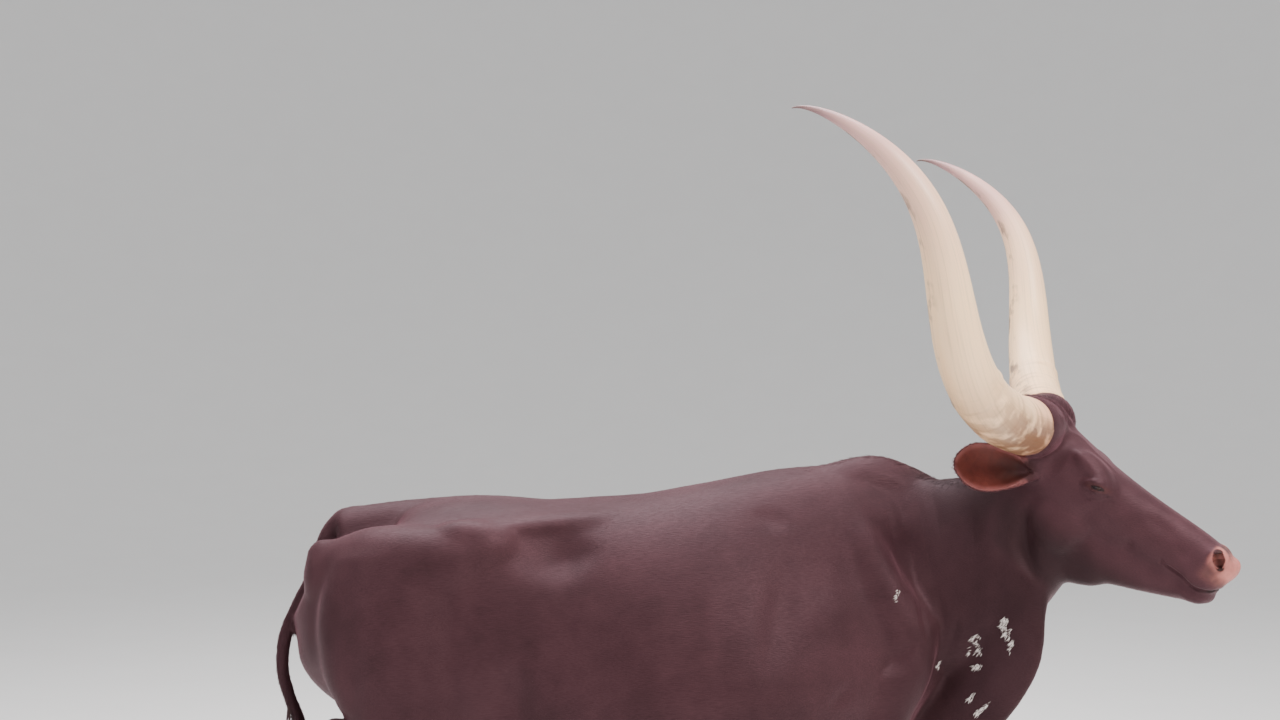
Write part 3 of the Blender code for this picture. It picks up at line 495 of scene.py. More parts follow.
def soften(thing: Thing, weights: Array, rounds: int) -> None:
    """Evens out a surface where it is given weight.

    Args:
        thing: The object.
        weights: A share from nought to one for each vertex.
        rounds: How many times each vertex moves half way to its neighbours.
    """
    group = thing.vertex_groups.new(name="soft")
    levels = np.round(weights * 20).astype(int)
    for level in range(1, 21):
        group.add(np.flatnonzero(levels == level).tolist(), level / 20, "REPLACE")
    smooth = thing.modifiers.new("soft", "SMOOTH")
    smooth.factor = 0.5
    smooth.iterations = rounds
    smooth.vertex_group = "soft"
    apply_all(thing)
    thing.vertex_groups.clear()


@dataclass(frozen=True)
class PhotoCamera:
    """The camera of the photograph, which is level and looks across the cow from its right."""

    wide: int = 1280
    high: int = 720
    focal: float = 1800.0
    horizon: float = 361.0
    place: tuple = (-0.4237, -4.2693, 1.57)
    turn: float = 5.0

    def ray(self, across_px: float, down_px: float) -> tuple[Vector, Vector]:
        """The line of sight through a pixel.

        Args:
            across_px: Pixels from the left of the picture.
            down_px: Pixels from its top.

        Returns:
            The camera's place and the way of the line, in the part's own frame.
        """
        turn = math.radians(self.turn)
        ahead = Vector((math.sin(turn), math.cos(turn), 0.0))
        right = Vector((math.cos(turn), -math.sin(turn), 0.0))
        way = ahead + right * ((across_px - self.wide / 2) / self.focal)
        way += Vector((0.0, 0.0, (self.horizon - down_px) / self.focal))
        return TRUNK @ Vector(self.place), way.normalized()

    def build(self) -> None:
        """Makes the camera and gives it to the scene."""
        bpy.ops.object.camera_add(location=TRUNK @ Vector(self.place),
                                  rotation=(math.radians(90.0), 0.0, -math.radians(self.turn)))
        camera = bpy.context.object
        camera.name = "photo_camera"
        camera.data.sensor_width = 36.0
        camera.data.lens = self.focal * camera.data.sensor_width / self.wide
        camera.data.shift_y = (self.horizon - self.high / 2) / self.wide
        camera.data.dof.use_dof = False
        bpy.context.scene.camera = camera


@dataclass
class Trunk:
    """The barrel, back, neck, dewlap and rump."""

    # forward, top, bottom, half width, egg, square
    barrel_rows: tuple = (
        (-0.83, 1.15, 0.96, 0.085, 0.0, 2.0), (-0.785, 1.2, 0.88, 0.145, 0.0, 2.2),
        (-0.7, 1.232, 0.77, 0.2, 0.0, 2.4), (-0.58, 1.25, 0.7, 0.228, 0.02, 2.5),
        (-0.42, 1.256, 0.66, 0.238, 0.05, 2.5), (-0.25, 1.246, 0.608, 0.262, 0.12, 2.3),
        (-0.05, 1.254, 0.577, 0.303, 0.18, 2.2), (0.15, 1.284, 0.577, 0.308, 0.22, 2.1),
        (0.3, 1.308, 0.597, 0.27, 0.26, 2.1), (0.45, 1.312, 0.63, 0.218, 0.26, 2.1),
        (0.58, 1.262, 0.68, 0.172, 0.2, 2.1), (0.67, 1.15, 0.76, 0.12, 0.1, 2.0))
    widest: float = 0.45
    # forward, top
    ridge_rows: tuple = (
        (-0.76, 1.226), (-0.6, 1.247), (-0.42, 1.256), (-0.31, 1.245), (-0.135, 1.253),
        (-0.02, 1.26), (0.09, 1.277), (0.195, 1.299), (0.29, 1.316), (0.395, 1.324),
        (0.47, 1.342), (0.53, 1.344), (0.6, 1.318), (0.66, 1.285))
    neck_rows: tuple = (
        Section((0.4, 0.0, 1.02), 0.265, 0.3, 0.155, 0.15),
        Section((0.56, -0.01, 1.05), 0.262, 0.27, 0.142, 0.25),
        Section((0.66, -0.055, 1.075), 0.232, 0.24, 0.112, 0.3),
        Section((0.74, -0.11, 1.115), 0.2, 0.21, 0.094, 0.25),
        Section((0.81, -0.165, 1.175), 0.168, 0.17, 0.085, 0.15),
        Section((0.865, -0.205, 1.25), 0.142, 0.13, 0.08, 0.1),
        Section((0.9, -0.225, 1.33), 0.105, 0.1, 0.072, 0.1))
    dewlap_rows: tuple = (
        Section((0.85, -0.225, 1.1), 0.035, 0.08, 0.05, 0.2),
        Section((0.826, -0.218, 1.01), 0.052, 0.1, 0.042, 0.4),
        Section((0.795, -0.19, 0.91), 0.088, 0.12, 0.036, 0.4),
        Section((0.757, -0.135, 0.8), 0.085, 0.13, 0.038, 0.4),
        Section((0.692, -0.065, 0.715), 0.085, 0.11, 0.052, 0.3),
        Section((0.6, -0.01, 0.685), 0.06, 0.08, 0.075, 0.2),
        Section((0.48, 0.0, 0.69), 0.06, 0.08, 0.095, 0.1))
    hip_rows: tuple = (
        Section((-0.41, 0.175, 1.15), 0.045, 0.06, 0.048), Section((-0.52, 0.16, 1.11), 0.09, 0.11, 0.08),
        Section((-0.66, 0.125, 1.085), 0.11, 0.13, 0.088), Section((-0.775, 0.085, 1.07), 0.085, 0.1, 0.06))
    loin_rows: tuple = (
        Section((-0.43, 0.105, 1.188), 0.03, 0.036, 0.085, 0.2),
        Section((-0.3, 0.1, 1.196), 0.028, 0.036, 0.07, 0.2),
        Section((-0.14, 0.08, 1.205), 0.024, 0.032, 0.05, 0.2))

    def barrel(self) -> Shape:
        """The chest, belly and croup.

        Returns:
            One body through the barrel's rows.
        """
        rows = []
        for x, top, low, half, egg, square in self.barrel_rows:
            deep = top - low
            rows.append(Section((x, 0.0, low + self.widest * deep), (1 - self.widest) * deep,
                                self.widest * deep, half, egg, square))
        return loft(rows, sides=64)

    def ridge(self) -> Shape:
        """The backbone and the hump."""
        return loft([Section((x, 0.0, top - 0.05), 0.05, 0.05, 0.055, 0.35) for x, top in self.ridge_rows])

    def rump(self, side: Side) -> list[Shape]:
        """The hook, the pin, the haunch and the shelf of the loin.

        Args:
            side: The side wanted.

        Returns:
            The four masses of that side.
        """
        hook = ball(across((-0.44, 0.174, 1.156), side), (0.105, 0.048, 0.056), (0, 10, 0))
        pin = ball(across((-0.785, 0.083, 1.12), side), (0.045, 0.034, 0.045))
        hip, loin = ([s._replace(middle=tuple(across(s.middle, side))) for s in rows]
                     for rows in (self.hip_rows, self.loin_rows))
        return [hook, pin, loft(hip, dome=0.8), loft(loin, dome=1.5)]

    def masses(self) -> list[Shape]:
        """Every mass of the trunk and neck.

        Returns:
            The masses, none of them fused.
        """
        made = [self.barrel(), self.ridge(), loft(self.neck_rows, sides=48)]
        made.append(loft(self.dewlap_rows, (0.72, -0.62, -0.55), 36))
        for side in Side:
            made += self.rump(side)
        return made


@dataclass
class Leg:
    """What the fore and hind legs share: the lower leg is set forward more and more below a height."""

    side: Side
    set_forward: float

    def stepped(self, rows: Sequence, start: float) -> list[Section]:
        """Sections for one side, set forward below a height.

        Args:
            rows: The middle of each section, and its reach to the front, back and side.
            start: The height below which the leg is set forward.

        Returns:
            The sections.
        """
        made = []
        for (x, y, z), front, back, out in rows:
            share = min(1.0, max(0.0, (start - z) / (start - HOOF_TOP)))
            made.append(Section((x + self.set_forward * share, self.side.value * y, z), front, back, out))
        return made

    def mirrored(self, rows: Sequence) -> list[Section]:
        """Sections for one side."""
        return [Section(tuple(across(at, self.side)), front, back, out) for at, front, back, out in rows]


@dataclass
class Foreleg(Leg):
    """One foreleg, from the shoulder blade down."""

    blade_rows: tuple = (
        ((0.405, 0.06, 1.215), 0.06, 0.08, 0.028), ((0.43, 0.112, 1.15), 0.075, 0.1, 0.04),
        ((0.485, 0.148, 1.05), 0.075, 0.105, 0.048), ((0.56, 0.158, 0.94), 0.068, 0.09, 0.052),
        ((0.565, 0.15, 0.88), 0.055, 0.08, 0.05))
    arm_rows: tuple = (
        ((0.59, 0.152, 0.95), 0.05, 0.09, 0.045), ((0.545, 0.16, 0.87), 0.08, 0.12, 0.058),
        ((0.5, 0.162, 0.79), 0.085, 0.11, 0.056), ((0.492, 0.16, 0.72), 0.07, 0.08, 0.05))
    lower_rows: tuple = (
        ((0.492, 0.162, 0.8), 0.078, 0.09, 0.05), ((0.49, 0.16, 0.73), 0.068, 0.076, 0.05),
        ((0.495, 0.152, 0.64), 0.056, 0.06, 0.045), ((0.505, 0.145, 0.54), 0.043, 0.043, 0.037),
        ((0.513, 0.14, 0.46), 0.04, 0.036, 0.036), ((0.517, 0.137, 0.405), 0.046, 0.037, 0.041),
        ((0.512, 0.135, 0.35), 0.032, 0.034, 0.031), ((0.509, 0.133, 0.28), 0.025, 0.03, 0.0245),
        ((0.508, 0.132, 0.205), 0.0255, 0.032, 0.026), ((0.51, 0.131, 0.16), 0.036, 0.04, 0.036),
        ((0.521, 0.131, 0.112), 0.03, 0.034, 0.034), ((0.535, 0.131, 0.08), 0.044, 0.044, 0.045),
        ((0.545, 0.131, 0.04), 0.046, 0.046, 0.046))

    @property
    def foot(self) -> tuple[float, float]:
        """The middle of the foot on the floor."""
        return 0.535 + self.set_forward, self.side.value * 0.131

    def masses(self) -> list[Shape]:
        """Every mass of the leg.

        Returns:
            The masses, none of them fused.
        """
        triceps = ball(across((0.435, 0.165, 0.86), self.side), (0.1, 0.05, 0.125), (0, 20, 0))
        elbow = ball(across((0.425, 0.16, 0.755), self.side), (0.042, 0.03, 0.042))
        return [loft(self.mirrored(self.blade_rows), (1, 0, 0.35), dome=0.8),
                loft(self.mirrored(self.arm_rows), (1, 0, 0), dome=0.7),
                loft(self.stepped(self.lower_rows, 0.7), (1, 0, 0)), triceps, elbow]


@dataclass
class HindLeg(Leg):
    """One hind leg, from the thigh down."""

    rows: tuple = (
        ((-0.6, 0.125, 1.12), 0.185, 0.17, 0.095), ((-0.602, 0.15, 1.0), 0.195, 0.195, 0.098),
        ((-0.6, 0.158, 0.9), 0.19, 0.19, 0.092), ((-0.592, 0.16, 0.81), 0.18, 0.17, 0.08),
        ((-0.6, 0.16, 0.72), 0.135, 0.135, 0.064), ((-0.645, 0.156, 0.63), 0.085, 0.092, 0.048),
        ((-0.7, 0.152, 0.56), 0.056, 0.062, 0.038), ((-0.732, 0.15, 0.505), 0.05, 0.05, 0.037),
        ((-0.736, 0.148, 0.45), 0.04, 0.038, 0.031), ((-0.728, 0.146, 0.35), 0.027, 0.031, 0.025),
        ((-0.722, 0.145, 0.21), 0.0265, 0.033, 0.0265), ((-0.716, 0.145, 0.16), 0.038, 0.041, 0.037),
        ((-0.698, 0.145, 0.112), 0.031, 0.034, 0.034), ((-0.68, 0.145, 0.08), 0.044, 0.044, 0.045),
        ((-0.668, 0.145, 0.04), 0.046, 0.046, 0.046))

    @property
    def foot(self) -> tuple[float, float]:
        """The middle of the foot on the floor."""
        return -0.678 + self.set_forward, self.side.value * 0.145

    def masses(self) -> list[Shape]:
        """Every mass of the leg.

        Returns:
            The masses, none of them fused.
        """
        # forward, share of the leg's own step, left and up
        rows = ((-0.748, 0.0, 0.152, 0.76), (-0.752, 0.15, 0.15, 0.68), (-0.766, 0.25, 0.149, 0.61),
                (-0.786, 0.32, 0.149, 0.56), (-0.772, 0.37, 0.149, 0.52))
        path = [across((x + share * self.set_forward, y, z), self.side) for x, share, y, z in rows]
        cord = round_tube(path, (0.03, 0.017, 0.013, 0.0185, 0.018))
        stifle = ball(across((-0.425, 0.175, 0.745), self.side), (0.055, 0.04, 0.085), (0, -15, 0))
        return [loft(self.stepped(self.rows, 0.78), (1, 0, 0), 44), cord, stifle]


@dataclass
class Udder:
    """The bag and its four teats."""

    middle: tuple = (-0.44, 0.0, 0.65)
    radii: tuple = (0.125, 0.085, 0.062)

    def masses(self) -> list[Shape]:
        """Every mass of the udder.

        Returns:
            The bag and the teats.
        """
        made = [ball(self.middle, self.radii)]
        for forward in (-0.4, -0.485):
            for side in Side:
                low = (forward, side.value * 0.046, 0.548)
                made.append(round_tube(((forward, side.value * 0.038, 0.61), low), (0.013, 0.0105)))
                made.append(ball(low, (0.0105, 0.0105, 0.009)))
        return made


@dataclass
class Skull:
    """The masses of the head, forward, left and up of the poll."""

    # forward, top, bottom, half width, egg, square
    skull_rows: tuple = (
        (-0.055, -0.04, -0.15, 0.05, 0.0, 2.0), (-0.02, -0.012, -0.19, 0.07, 0.0, 2.2),
        (0.04, -0.002, -0.205, 0.083, 0.0, 2.4), (0.11, -0.007, -0.205, 0.093, -0.02, 2.6),
        (0.17, -0.011, -0.195, 0.094, -0.04, 2.6), (0.225, -0.013, -0.18, 0.083, -0.02, 2.5),
        (0.29, -0.012, -0.165, 0.068, 0.05, 2.4), (0.36, -0.008, -0.15, 0.057, 0.08, 2.4),
        (0.42, -0.004, -0.138, 0.053, 0.04, 2.4), (0.47, -0.003, -0.124, 0.058, 0.0, 2.4),
        (0.51, -0.008, -0.108, 0.057, 0.0, 2.3), (0.538, -0.026, -0.088, 0.04, 0.0, 2.2))
    # forward, top, bottom, half width
    jaw_rows: tuple = (
        (0.07, -0.1, -0.19, 0.062), (0.11, -0.1, -0.238, 0.07), (0.16, -0.1, -0.276, 0.07),
        (0.21, -0.1, -0.292, 0.062), (0.27, -0.1, -0.27, 0.052), (0.33, -0.1, -0.238, 0.043),
        (0.39, -0.095, -0.208, 0.037), (0.45, -0.09, -0.176, 0.036), (0.495, -0.085, -0.15, 0.038),
        (0.524, -0.082, -0.124, 0.03))
    # middle, radii, degrees about X, Y and Z, for the left side
    lumps: tuple = (
        ((0.004, 0.058, -0.047), (0.07, 0.05, 0.069), (0, 0, 0)),
        ((0.168, 0.064, -0.048), (0.07, 0.033, 0.032), (0, 12, -14)),
        ((0.188, 0.068, -0.066), (0.05, 0.031, 0.04), (0, 0, 0)),
        ((0.165, 0.052, -0.19), (0.078, 0.038, 0.084), (0, 20, 0)),
        ((0.262, 0.056, -0.098), (0.085, 0.022, 0.024), (0, 6, -18)),
        ((0.04, 0.075, -0.125), (0.045, 0.034, 0.045), (0, 0, 0)),
        ((0.492, 0.038, -0.034), (0.036, 0.026, 0.03), (0, 20, 0)),
        ((0.48, 0.03, -0.094), (0.052, 0.03, 0.026), (0, -8, 0)),
        ((0.492, 0.02, -0.132), (0.042, 0.024, 0.022), (0, -14, 0)))
    middle_lumps: tuple = (
        ((0.52, 0.0, -0.044), (0.026, 0.048, 0.038), (0, 10, 0)),
        ((0.51, 0.0, -0.118), (0.034, 0.034, 0.026), (0, -20, 0)),
        ((0.225, 0.0, -0.262), (0.12, 0.045, 0.046), (0, -16, 0)),
        ((0.0, 0.0, -0.03), (0.085, 0.05, 0.044), (0, -4, 0)))

    def masses(self) -> list[Shape]:
        """Every mass of the head.

        Returns:
            The masses in the part's own frame, none of them fused.
        """
        made = []
        for table, sides in ((self.skull_rows, 56), ([(*row, 0.0, 2.2) for row in self.jaw_rows], 44)):
            rows = [Section((x, 0.0, (top + low) / 2), (top - low) / 2, (top - low) / 2, half, egg, square)
                    for x, top, low, half, egg, square in table]
            made.append(loft(rows, sides=sides))
        for at, radii, turn in self.middle_lumps:
            made.append(ball(at, radii, turn))
        line = horn_line(201)
        for side in Side:
            path = [across(line[round(200 * share)], side) for share, _ in COLLAR]
            made.append(round_tube(path, [radius for _, radius in COLLAR], 28))
            for at, radii, turn in self.lumps:
                turned = (turn[0] * side.value, turn[1], turn[2] * side.value)
                made.append(ball(across(at, side), radii, turned))
            made.append(ball(across(EYE_AT, side), (EYE_RADIUS + LID_THICK,) * 3))
        return [shape.placed(HEAD) for shape in made]


EAR_ALONG = unit(EAR_TIP - EAR_ROOT)
EAR_WIDE = unit(EAR_ACROSS - (EAR_ACROSS @ EAR_ALONG) * EAR_ALONG)
EAR_MOUTH = np.cross(EAR_WIDE, EAR_ALONG)


@dataclass
class Ear:
    """One ear: a leaf with a cup in it, set on a round root."""

    side: Side
    thick: float = 0.006
    fill: float = 0.0145
    lengths: int = 36
    breadths: int = 24

    @staticmethod
    def rolled(u: Array) -> tuple[Array, Array]:
        """How the leaf is rolled, at shares of the way from root to tip.

        Args:
            u: The shares.

        Returns:
            The radius of the roll, and its turn from the middle to a rim.
        """
        half = EAR_HALF * (0.62 + 1.3 * u - 1.05 * u ** 2) * (1 - u ** 5) ** 0.6
        curl = 0.42 + 1.55 * (1 - u) ** 1.6
        return half / curl, curl

    def point(self, u: float, v: Array, offset: float) -> Array:
        """Points of the left ear's sheet.

        Args:
            u: The share of the way from root to tip.
            v: From the upper rim, at minus one, to the lower, at one.
            offset: How far in from the middle of the sheet, towards the cup.

        Returns:
            Rows of three numbers, forward, left and up of the poll.
        """
        radius, curl = self.rolled(u)
        turn = curl * v
        middle = EAR_ROOT + (EAR_TIP - EAR_ROOT) * u - EAR_MOUTH * (0.018 * math.sin(math.pi * u))
        reach = max(radius - offset, 0.001)
        beside, inwards = reach * np.sin(turn), radius - reach * np.cos(turn)
        return middle + np.outer(beside, EAR_WIDE) + np.outer(inwards, EAR_MOUTH)

    def from_rim(self, at: Array) -> Array:
        """How far points are from the ear's rim.

        Args:
            at: Points of the left side, forward, left and up of the poll.

        Returns:
            The distances.
        """
        far = np.full(len(at), np.inf)
        for edge in (-1.0, 1.0):
            rim = np.array([self.point(u, np.array([edge]), 0.0)[0] for u in np.linspace(0.15, 0.985, 24)])
            far = np.minimum(far, path_distance(at, rim)[0])
        return far

    def shape(self) -> Shape:
        """The ear as a closed body.

        Returns:
            The body in the part's own frame.
        """
        v = np.sin(np.linspace(-1, 1, self.breadths) * math.pi / 2)
        rings = []
        for u in np.linspace(0.0, 1.0, self.lengths) ** 0.85 * 1.065 - 0.08:
            thick = self.thick * (1 - 0.45 * u)
            filled = self.fill * float(step(u, 0.36, 0.02))
            outer, inner = self.point(u, v, -thick / 2), self.point(u, v[::-1], thick / 2 + filled)
            rings.append(np.vstack([outer, inner]))
        leaf = tube(np.array(rings), flat=True)
        path = (EAR_ROOT - 0.045 * EAR_ALONG, EAR_ROOT - 0.01 * EAR_MOUTH,
                EAR_ROOT + 0.04 * EAR_ALONG - 0.014 * EAR_MOUTH)
        root = round_tube(path, (0.03, 0.029, 0.018))
        whole = Shape.joined([Shape(leaf.points, leaf.triangles[:, ::-1]), root])
        points, triangles = whole.points * (1.0, self.side.value, 1.0), whole.triangles
        if self.side is Side.RIGHT:
            triangles = triangles[:, ::-1]
        return Shape(points, triangles).placed(HEAD)


EYE_OUT = unit(np.array((0.1, 1.0, 0.06)))
EYE_SLIT_AT = EYE_AT + EYE_OUT * (EYE_RADIUS + LID_THICK) + (0.005, -0.001, -0.006)
EYE_SLIT_TURN = np.array(Euler((0.0, -math.radians(EYE_SLANT), math.radians(8.0))).to_matrix())
EYE_CORNER = EYE_SLIT_AT + EYE_SLIT_TURN @ np.array((0.015, -0.003, -0.001))
NOSTRIL_PATH = np.array(((0.481, 0.052, -0.02), (0.49, 0.054, -0.029), (0.502, 0.051, -0.041)))
NOSTRIL_RADII = (0.0095, 0.013, 0.0095)
MOUTH_LINE = np.array(((0.4, 0.058, -0.118), (0.43, 0.06, -0.122), (0.462, 0.06, -0.125),
                       (0.49, 0.055, -0.121), (0.515, 0.042, -0.104), (0.531, 0.024, -0.088),
                       (0.536, 0.0, -0.083), (0.533, -0.016, -0.086)))


class Places:
    """Where a point lies on the cow, as shares from nought to one."""

    @staticmethod
    def body(points: Array) -> Array:
        """Points forward, left and up of the middle of the trunk."""
        return points + np.array(BOX_MIDDLE)

    @staticmethod
    def local(points: Array) -> Array:
        """Points forward, left and up of the poll."""
        return carried(points, HEAD.inverted())

    @staticmethod
    def left(points: Array) -> Array:
        """Points forward, left and up of the poll, those of the right side as their twins on the left.

        Args:
            points: Points in the part's own frame.

        Returns:
            Points of the left side.
        """
        at = Places.local(points)
        at[:, 1] = np.abs(at[:, 1])
        return at

    @staticmethod
    def head(points: Array) -> Array:
        """How much each point belongs to the head.

        Args:
            points: Points in the part's own frame.

        Returns:
            Shares from nought to one.
        """
        x, _, z = Places.local(points).T
        ahead = (x + 0.085) * 0.925 + (z - 0.03) * 0.38
        return step(ahead, -0.01, 0.04) * step(z, -0.345, -0.305)

    @staticmethod
    def legs(points: Array) -> Array:
        """How much each point belongs to a leg.

        Args:
            points: Points in the part's own frame.

        Returns:
            Shares from nought to one.
        """
        x, y, z = Places.body(points).T
        fore = step(x, 0.36, 0.42) * step(x, 0.7, 0.64)
        hind = step(x, -0.4, -0.46)
        outer = step(np.abs(y), 0.03, 0.07)
        return np.maximum(fore * step(z, 0.74, 0.6), hind * step(z, 0.86, 0.68)) * outer

    @staticmethod
    def tail(points: Array) -> Array:
        """How much each point belongs to the tail."""
        far, along = path_distance(Places.body(points), np.array(TAIL_PATH))
        return step(far, 0.036, 0.029) * step(along, 0.1, 0.22)

    @staticmethod
    def udder(points: Array) -> Array:
        """How much each point belongs to the udder."""
        x, y, z = Places.body(points).T
        return (step(x, -0.64, -0.58) * step(x, -0.28, -0.33) * step(np.abs(y), 0.11, 0.085)
                * step(z, 0.68, 0.64))

    @staticmethod
    def slim(points: Array) -> Array:
        """How much each point belongs to the head, a leg, the tail or the udder."""
        parts = (Places.head, Places.legs, Places.tail, Places.udder)
        return np.max([part(points) for part in parts], axis=0)

    @staticmethod
    def eyes(points: Array) -> Array:
        """How much each point belongs to an eye's lids."""
        return step(np.linalg.norm(Places.left(points) - EYE_AT, axis=1), 0.04, 0.026)

    @staticmethod
    def ears(points: Array) -> Array:
        """How much each point belongs to an ear.

        Args:
            points: Points in the part's own frame.

        Returns:
            Shares from nought to one.
        """
        at = Places.left(points)
        far = path_distance(at, np.array((EAR_ROOT, EAR_TIP)))[0]
        return step(far, 0.085, 0.07) * step(at[:, 1], 0.098, 0.112) * step(at[:, 2], -0.26, -0.24)


@dataclass
class Skin:
    """The one skin of the cow."""

    camera: PhotoCamera
    voxel: float = 0.0045
    fine_rounds: int = 5
    fold_rounds: int = 24
    root_rounds: int = 22
    head_rounds: int = 24
    flesh_rounds: int = 44
    coat_depth: float = 0.0015
    slit: tuple = (0.012, 0.015, 0.0027)
    end_fade: float = 6.0
    thinned_to: int = 128_000
    # folds and hollows, or swellings where the depth is below nought: path, width and depth
    # through pixels of the photograph, on the cow's right side
    photo_strokes: tuple = (
        (((822, 470), (845, 494), (872, 534), (896, 590), (908, 640)), 0.05, -0.0045),
        (((852, 474), (882, 520), (908, 566), (924, 610), (930, 660)), 0.046, 0.0065),
        (((880, 494), (893, 530), (905, 580), (912, 622)), 0.013, 0.0019),
        (((896, 484), (904, 522), (915, 566), (922, 606)), 0.012, 0.0019),
        (((914, 486), (921, 520), (929, 560), (934, 592)), 0.012, 0.0022),
        (((930, 480), (936, 512), (942, 548)), 0.013, 0.002),
        (((917, 590), (925, 622), (929, 656)), 0.013, 0.0045),
        (((936, 580), (942, 618), (940, 660)), 0.013, 0.0042),
        (((960, 604), (955, 632), (944, 664)), 0.013, 0.004),
        (((974, 500), (972, 530), (976, 562)), 0.02, 0.003),
        (((874, 676), (886, 669), (896, 661), (906, 652), (916, 640)), 0.03, 0.015),
        (((744, 514), (772, 519), (800, 528)), 0.034, 0.005),
        (((796, 536), (784, 590), (772, 650), (766, 712)), 0.05, 0.008),
        (((826, 712), (842, 697), (856, 680)), 0.022, 0.006),
        (((822, 560), (832, 606), (840, 660)), 0.075, -0.006),
        (((700, 560), (690, 620), (688, 690)), 0.045, 0.002),
        (((740, 552), (730, 612), (726, 690)), 0.045, 0.002),
        (((1030, 500), (1022, 532), (1028, 562), (1046, 590)), 0.028, 0.018),
        (((1044, 512), (1046, 534), (1052, 556)), 0.034, -0.005),
        (((1055, 413), (1076, 434), (1098, 454), (1124, 478)), 0.009, -0.0022),
        (((1053, 424), (1072, 443), (1092, 461), (1114, 482)), 0.009, 0.0016),
        (((1018, 466), (1030, 470), (1042, 468)), 0.01, 0.004),
        (((1034, 474), (1044, 480), (1050, 490)), 0.01, 0.003),
        (((1060, 470), (1072, 476), (1082, 474)), 0.014, 0.003),
        (((1070, 538), (1078, 544), (1086, 541)), 0.013, 0.003),
        (((1122, 538), (1130, 546), (1138, 545)), 0.012, 0.003))
    # forward, left and up of the trunk's middle, on both sides
    body_strokes: tuple = (
        (((-0.37, 0.24, 1.11), (-0.29, 0.24, 1.145), (-0.21, 0.24, 1.165), (-0.14, 0.23, 1.172)),
         0.066, 0.022),
        (((0.52, 0.13, 1.24), (0.585, 0.15, 1.12), (0.655, 0.165, 0.99)), 0.036, 0.004),
        (((-0.4, 0.27, 0.93), (-0.36, 0.25, 0.8), (-0.345, 0.2, 0.7)), 0.06, 0.018),
        (((-0.69, 0.24, 0.98), (-0.715, 0.235, 0.85), (-0.72, 0.2, 0.72)), 0.036, 0.008),
        (((-0.46, 0.25, 1.06), (-0.5, 0.255, 0.96), (-0.53, 0.25, 0.86)), 0.06, 0.007))
    # forward, left and up of the poll, on both sides
    head_strokes: tuple = (
        (((0.07, 0.098, -0.078), (0.112, 0.103, -0.082)), 0.036, 0.0036),
        (((0.225, 0.09, -0.095), (0.215, 0.095, -0.14), (0.23, 0.085, -0.19)), 0.024, 0.003),
        (((0.29, 0.07, -0.15), (0.35, 0.06, -0.15)), 0.03, 0.004),
        (((0.3, 0.065, -0.05), (0.4, 0.055, -0.05)), 0.026, 0.004),
        (((0.415, 0.055, -0.09), (0.425, 0.055, -0.05)), 0.022, 0.003))
    # finer ones of the same kind, drawn once the skin is fine there
    fine_strokes: tuple = (
        (tuple(tuple(at) for at in MOUTH_LINE), 0.0042, 0.0055),
        (((0.395, 0.06, -0.104), (0.402, 0.06, -0.12), (0.412, 0.06, -0.132)), 0.006, 0.0025),
        (((0.44, 0.062, -0.108), (0.48, 0.058, -0.108), (0.515, 0.045, -0.092)), 0.009, -0.0025),
        (((0.156, 0.106, -0.064), (0.178, 0.108, -0.044), (0.206, 0.104, -0.042)), 0.0055, 0.001),
        (((0.158, 0.106, -0.072), (0.184, 0.11, -0.056), (0.21, 0.106, -0.056)), 0.0075, -0.0034),
        (((0.166, 0.106, -0.084), (0.188, 0.108, -0.086), (0.208, 0.104, -0.08)), 0.0034, 0.0018),
        (((0.208, 0.102, -0.074), (0.23, 0.094, -0.072), (0.252, 0.082, -0.074)), 0.0046, 0.0034),
        (((0.17, 0.106, -0.094), (0.192, 0.106, -0.1), (0.214, 0.1, -0.092)), 0.005, 0.0016),
        (((0.148, 0.106, -0.08), (0.164, 0.109, -0.077), (0.18, 0.11, -0.068)), 0.012, -0.0052),
        (((0.472, 0.05, -0.01), (0.488, 0.052, -0.011), (0.506, 0.044, -0.02)), 0.008, -0.0018),
        (((0.464, 0.058, -0.024), (0.472, 0.058, -0.044), (0.49, 0.055, -0.056)), 0.007, 0.002))

    def fused(self) -> Thing:
        """One closed surface round every mass.

        Returns:
            The skin's object.
        """
        masses = Trunk().masses() + Udder().masses() + [round_tube(TAIL_PATH, TAIL_RADII)]
        for side in Side:
            masses += Foreleg(side, STEP_FORE[side]).masses() + HindLeg(side, STEP_HIND[side]).masses()
        shape = Shape.joined([mass.placed(TRUNK) for mass in masses] + Skull().masses())
        skin = shape.as_object("skin")
        fuse = skin.modifiers.new("fused", "REMESH")
        fuse.mode = "VOXEL"
        fuse.voxel_size = self.voxel
        apply_all(skin)
        return skin

    def softened(self, skin: Thing) -> None:
        """Evens the skin out, most of all where the flesh is thick.

        Args:
            skin: The skin.
        """
        points = points_of(skin)
        soften(skin, np.ones(len(points)), self.fine_rounds)
        soften(skin, 1.0 - Places.slim(points), self.flesh_rounds)
        soften(skin, Places.head(points) * (1.0 - 0.8 * Places.eyes(points)), self.head_rounds)

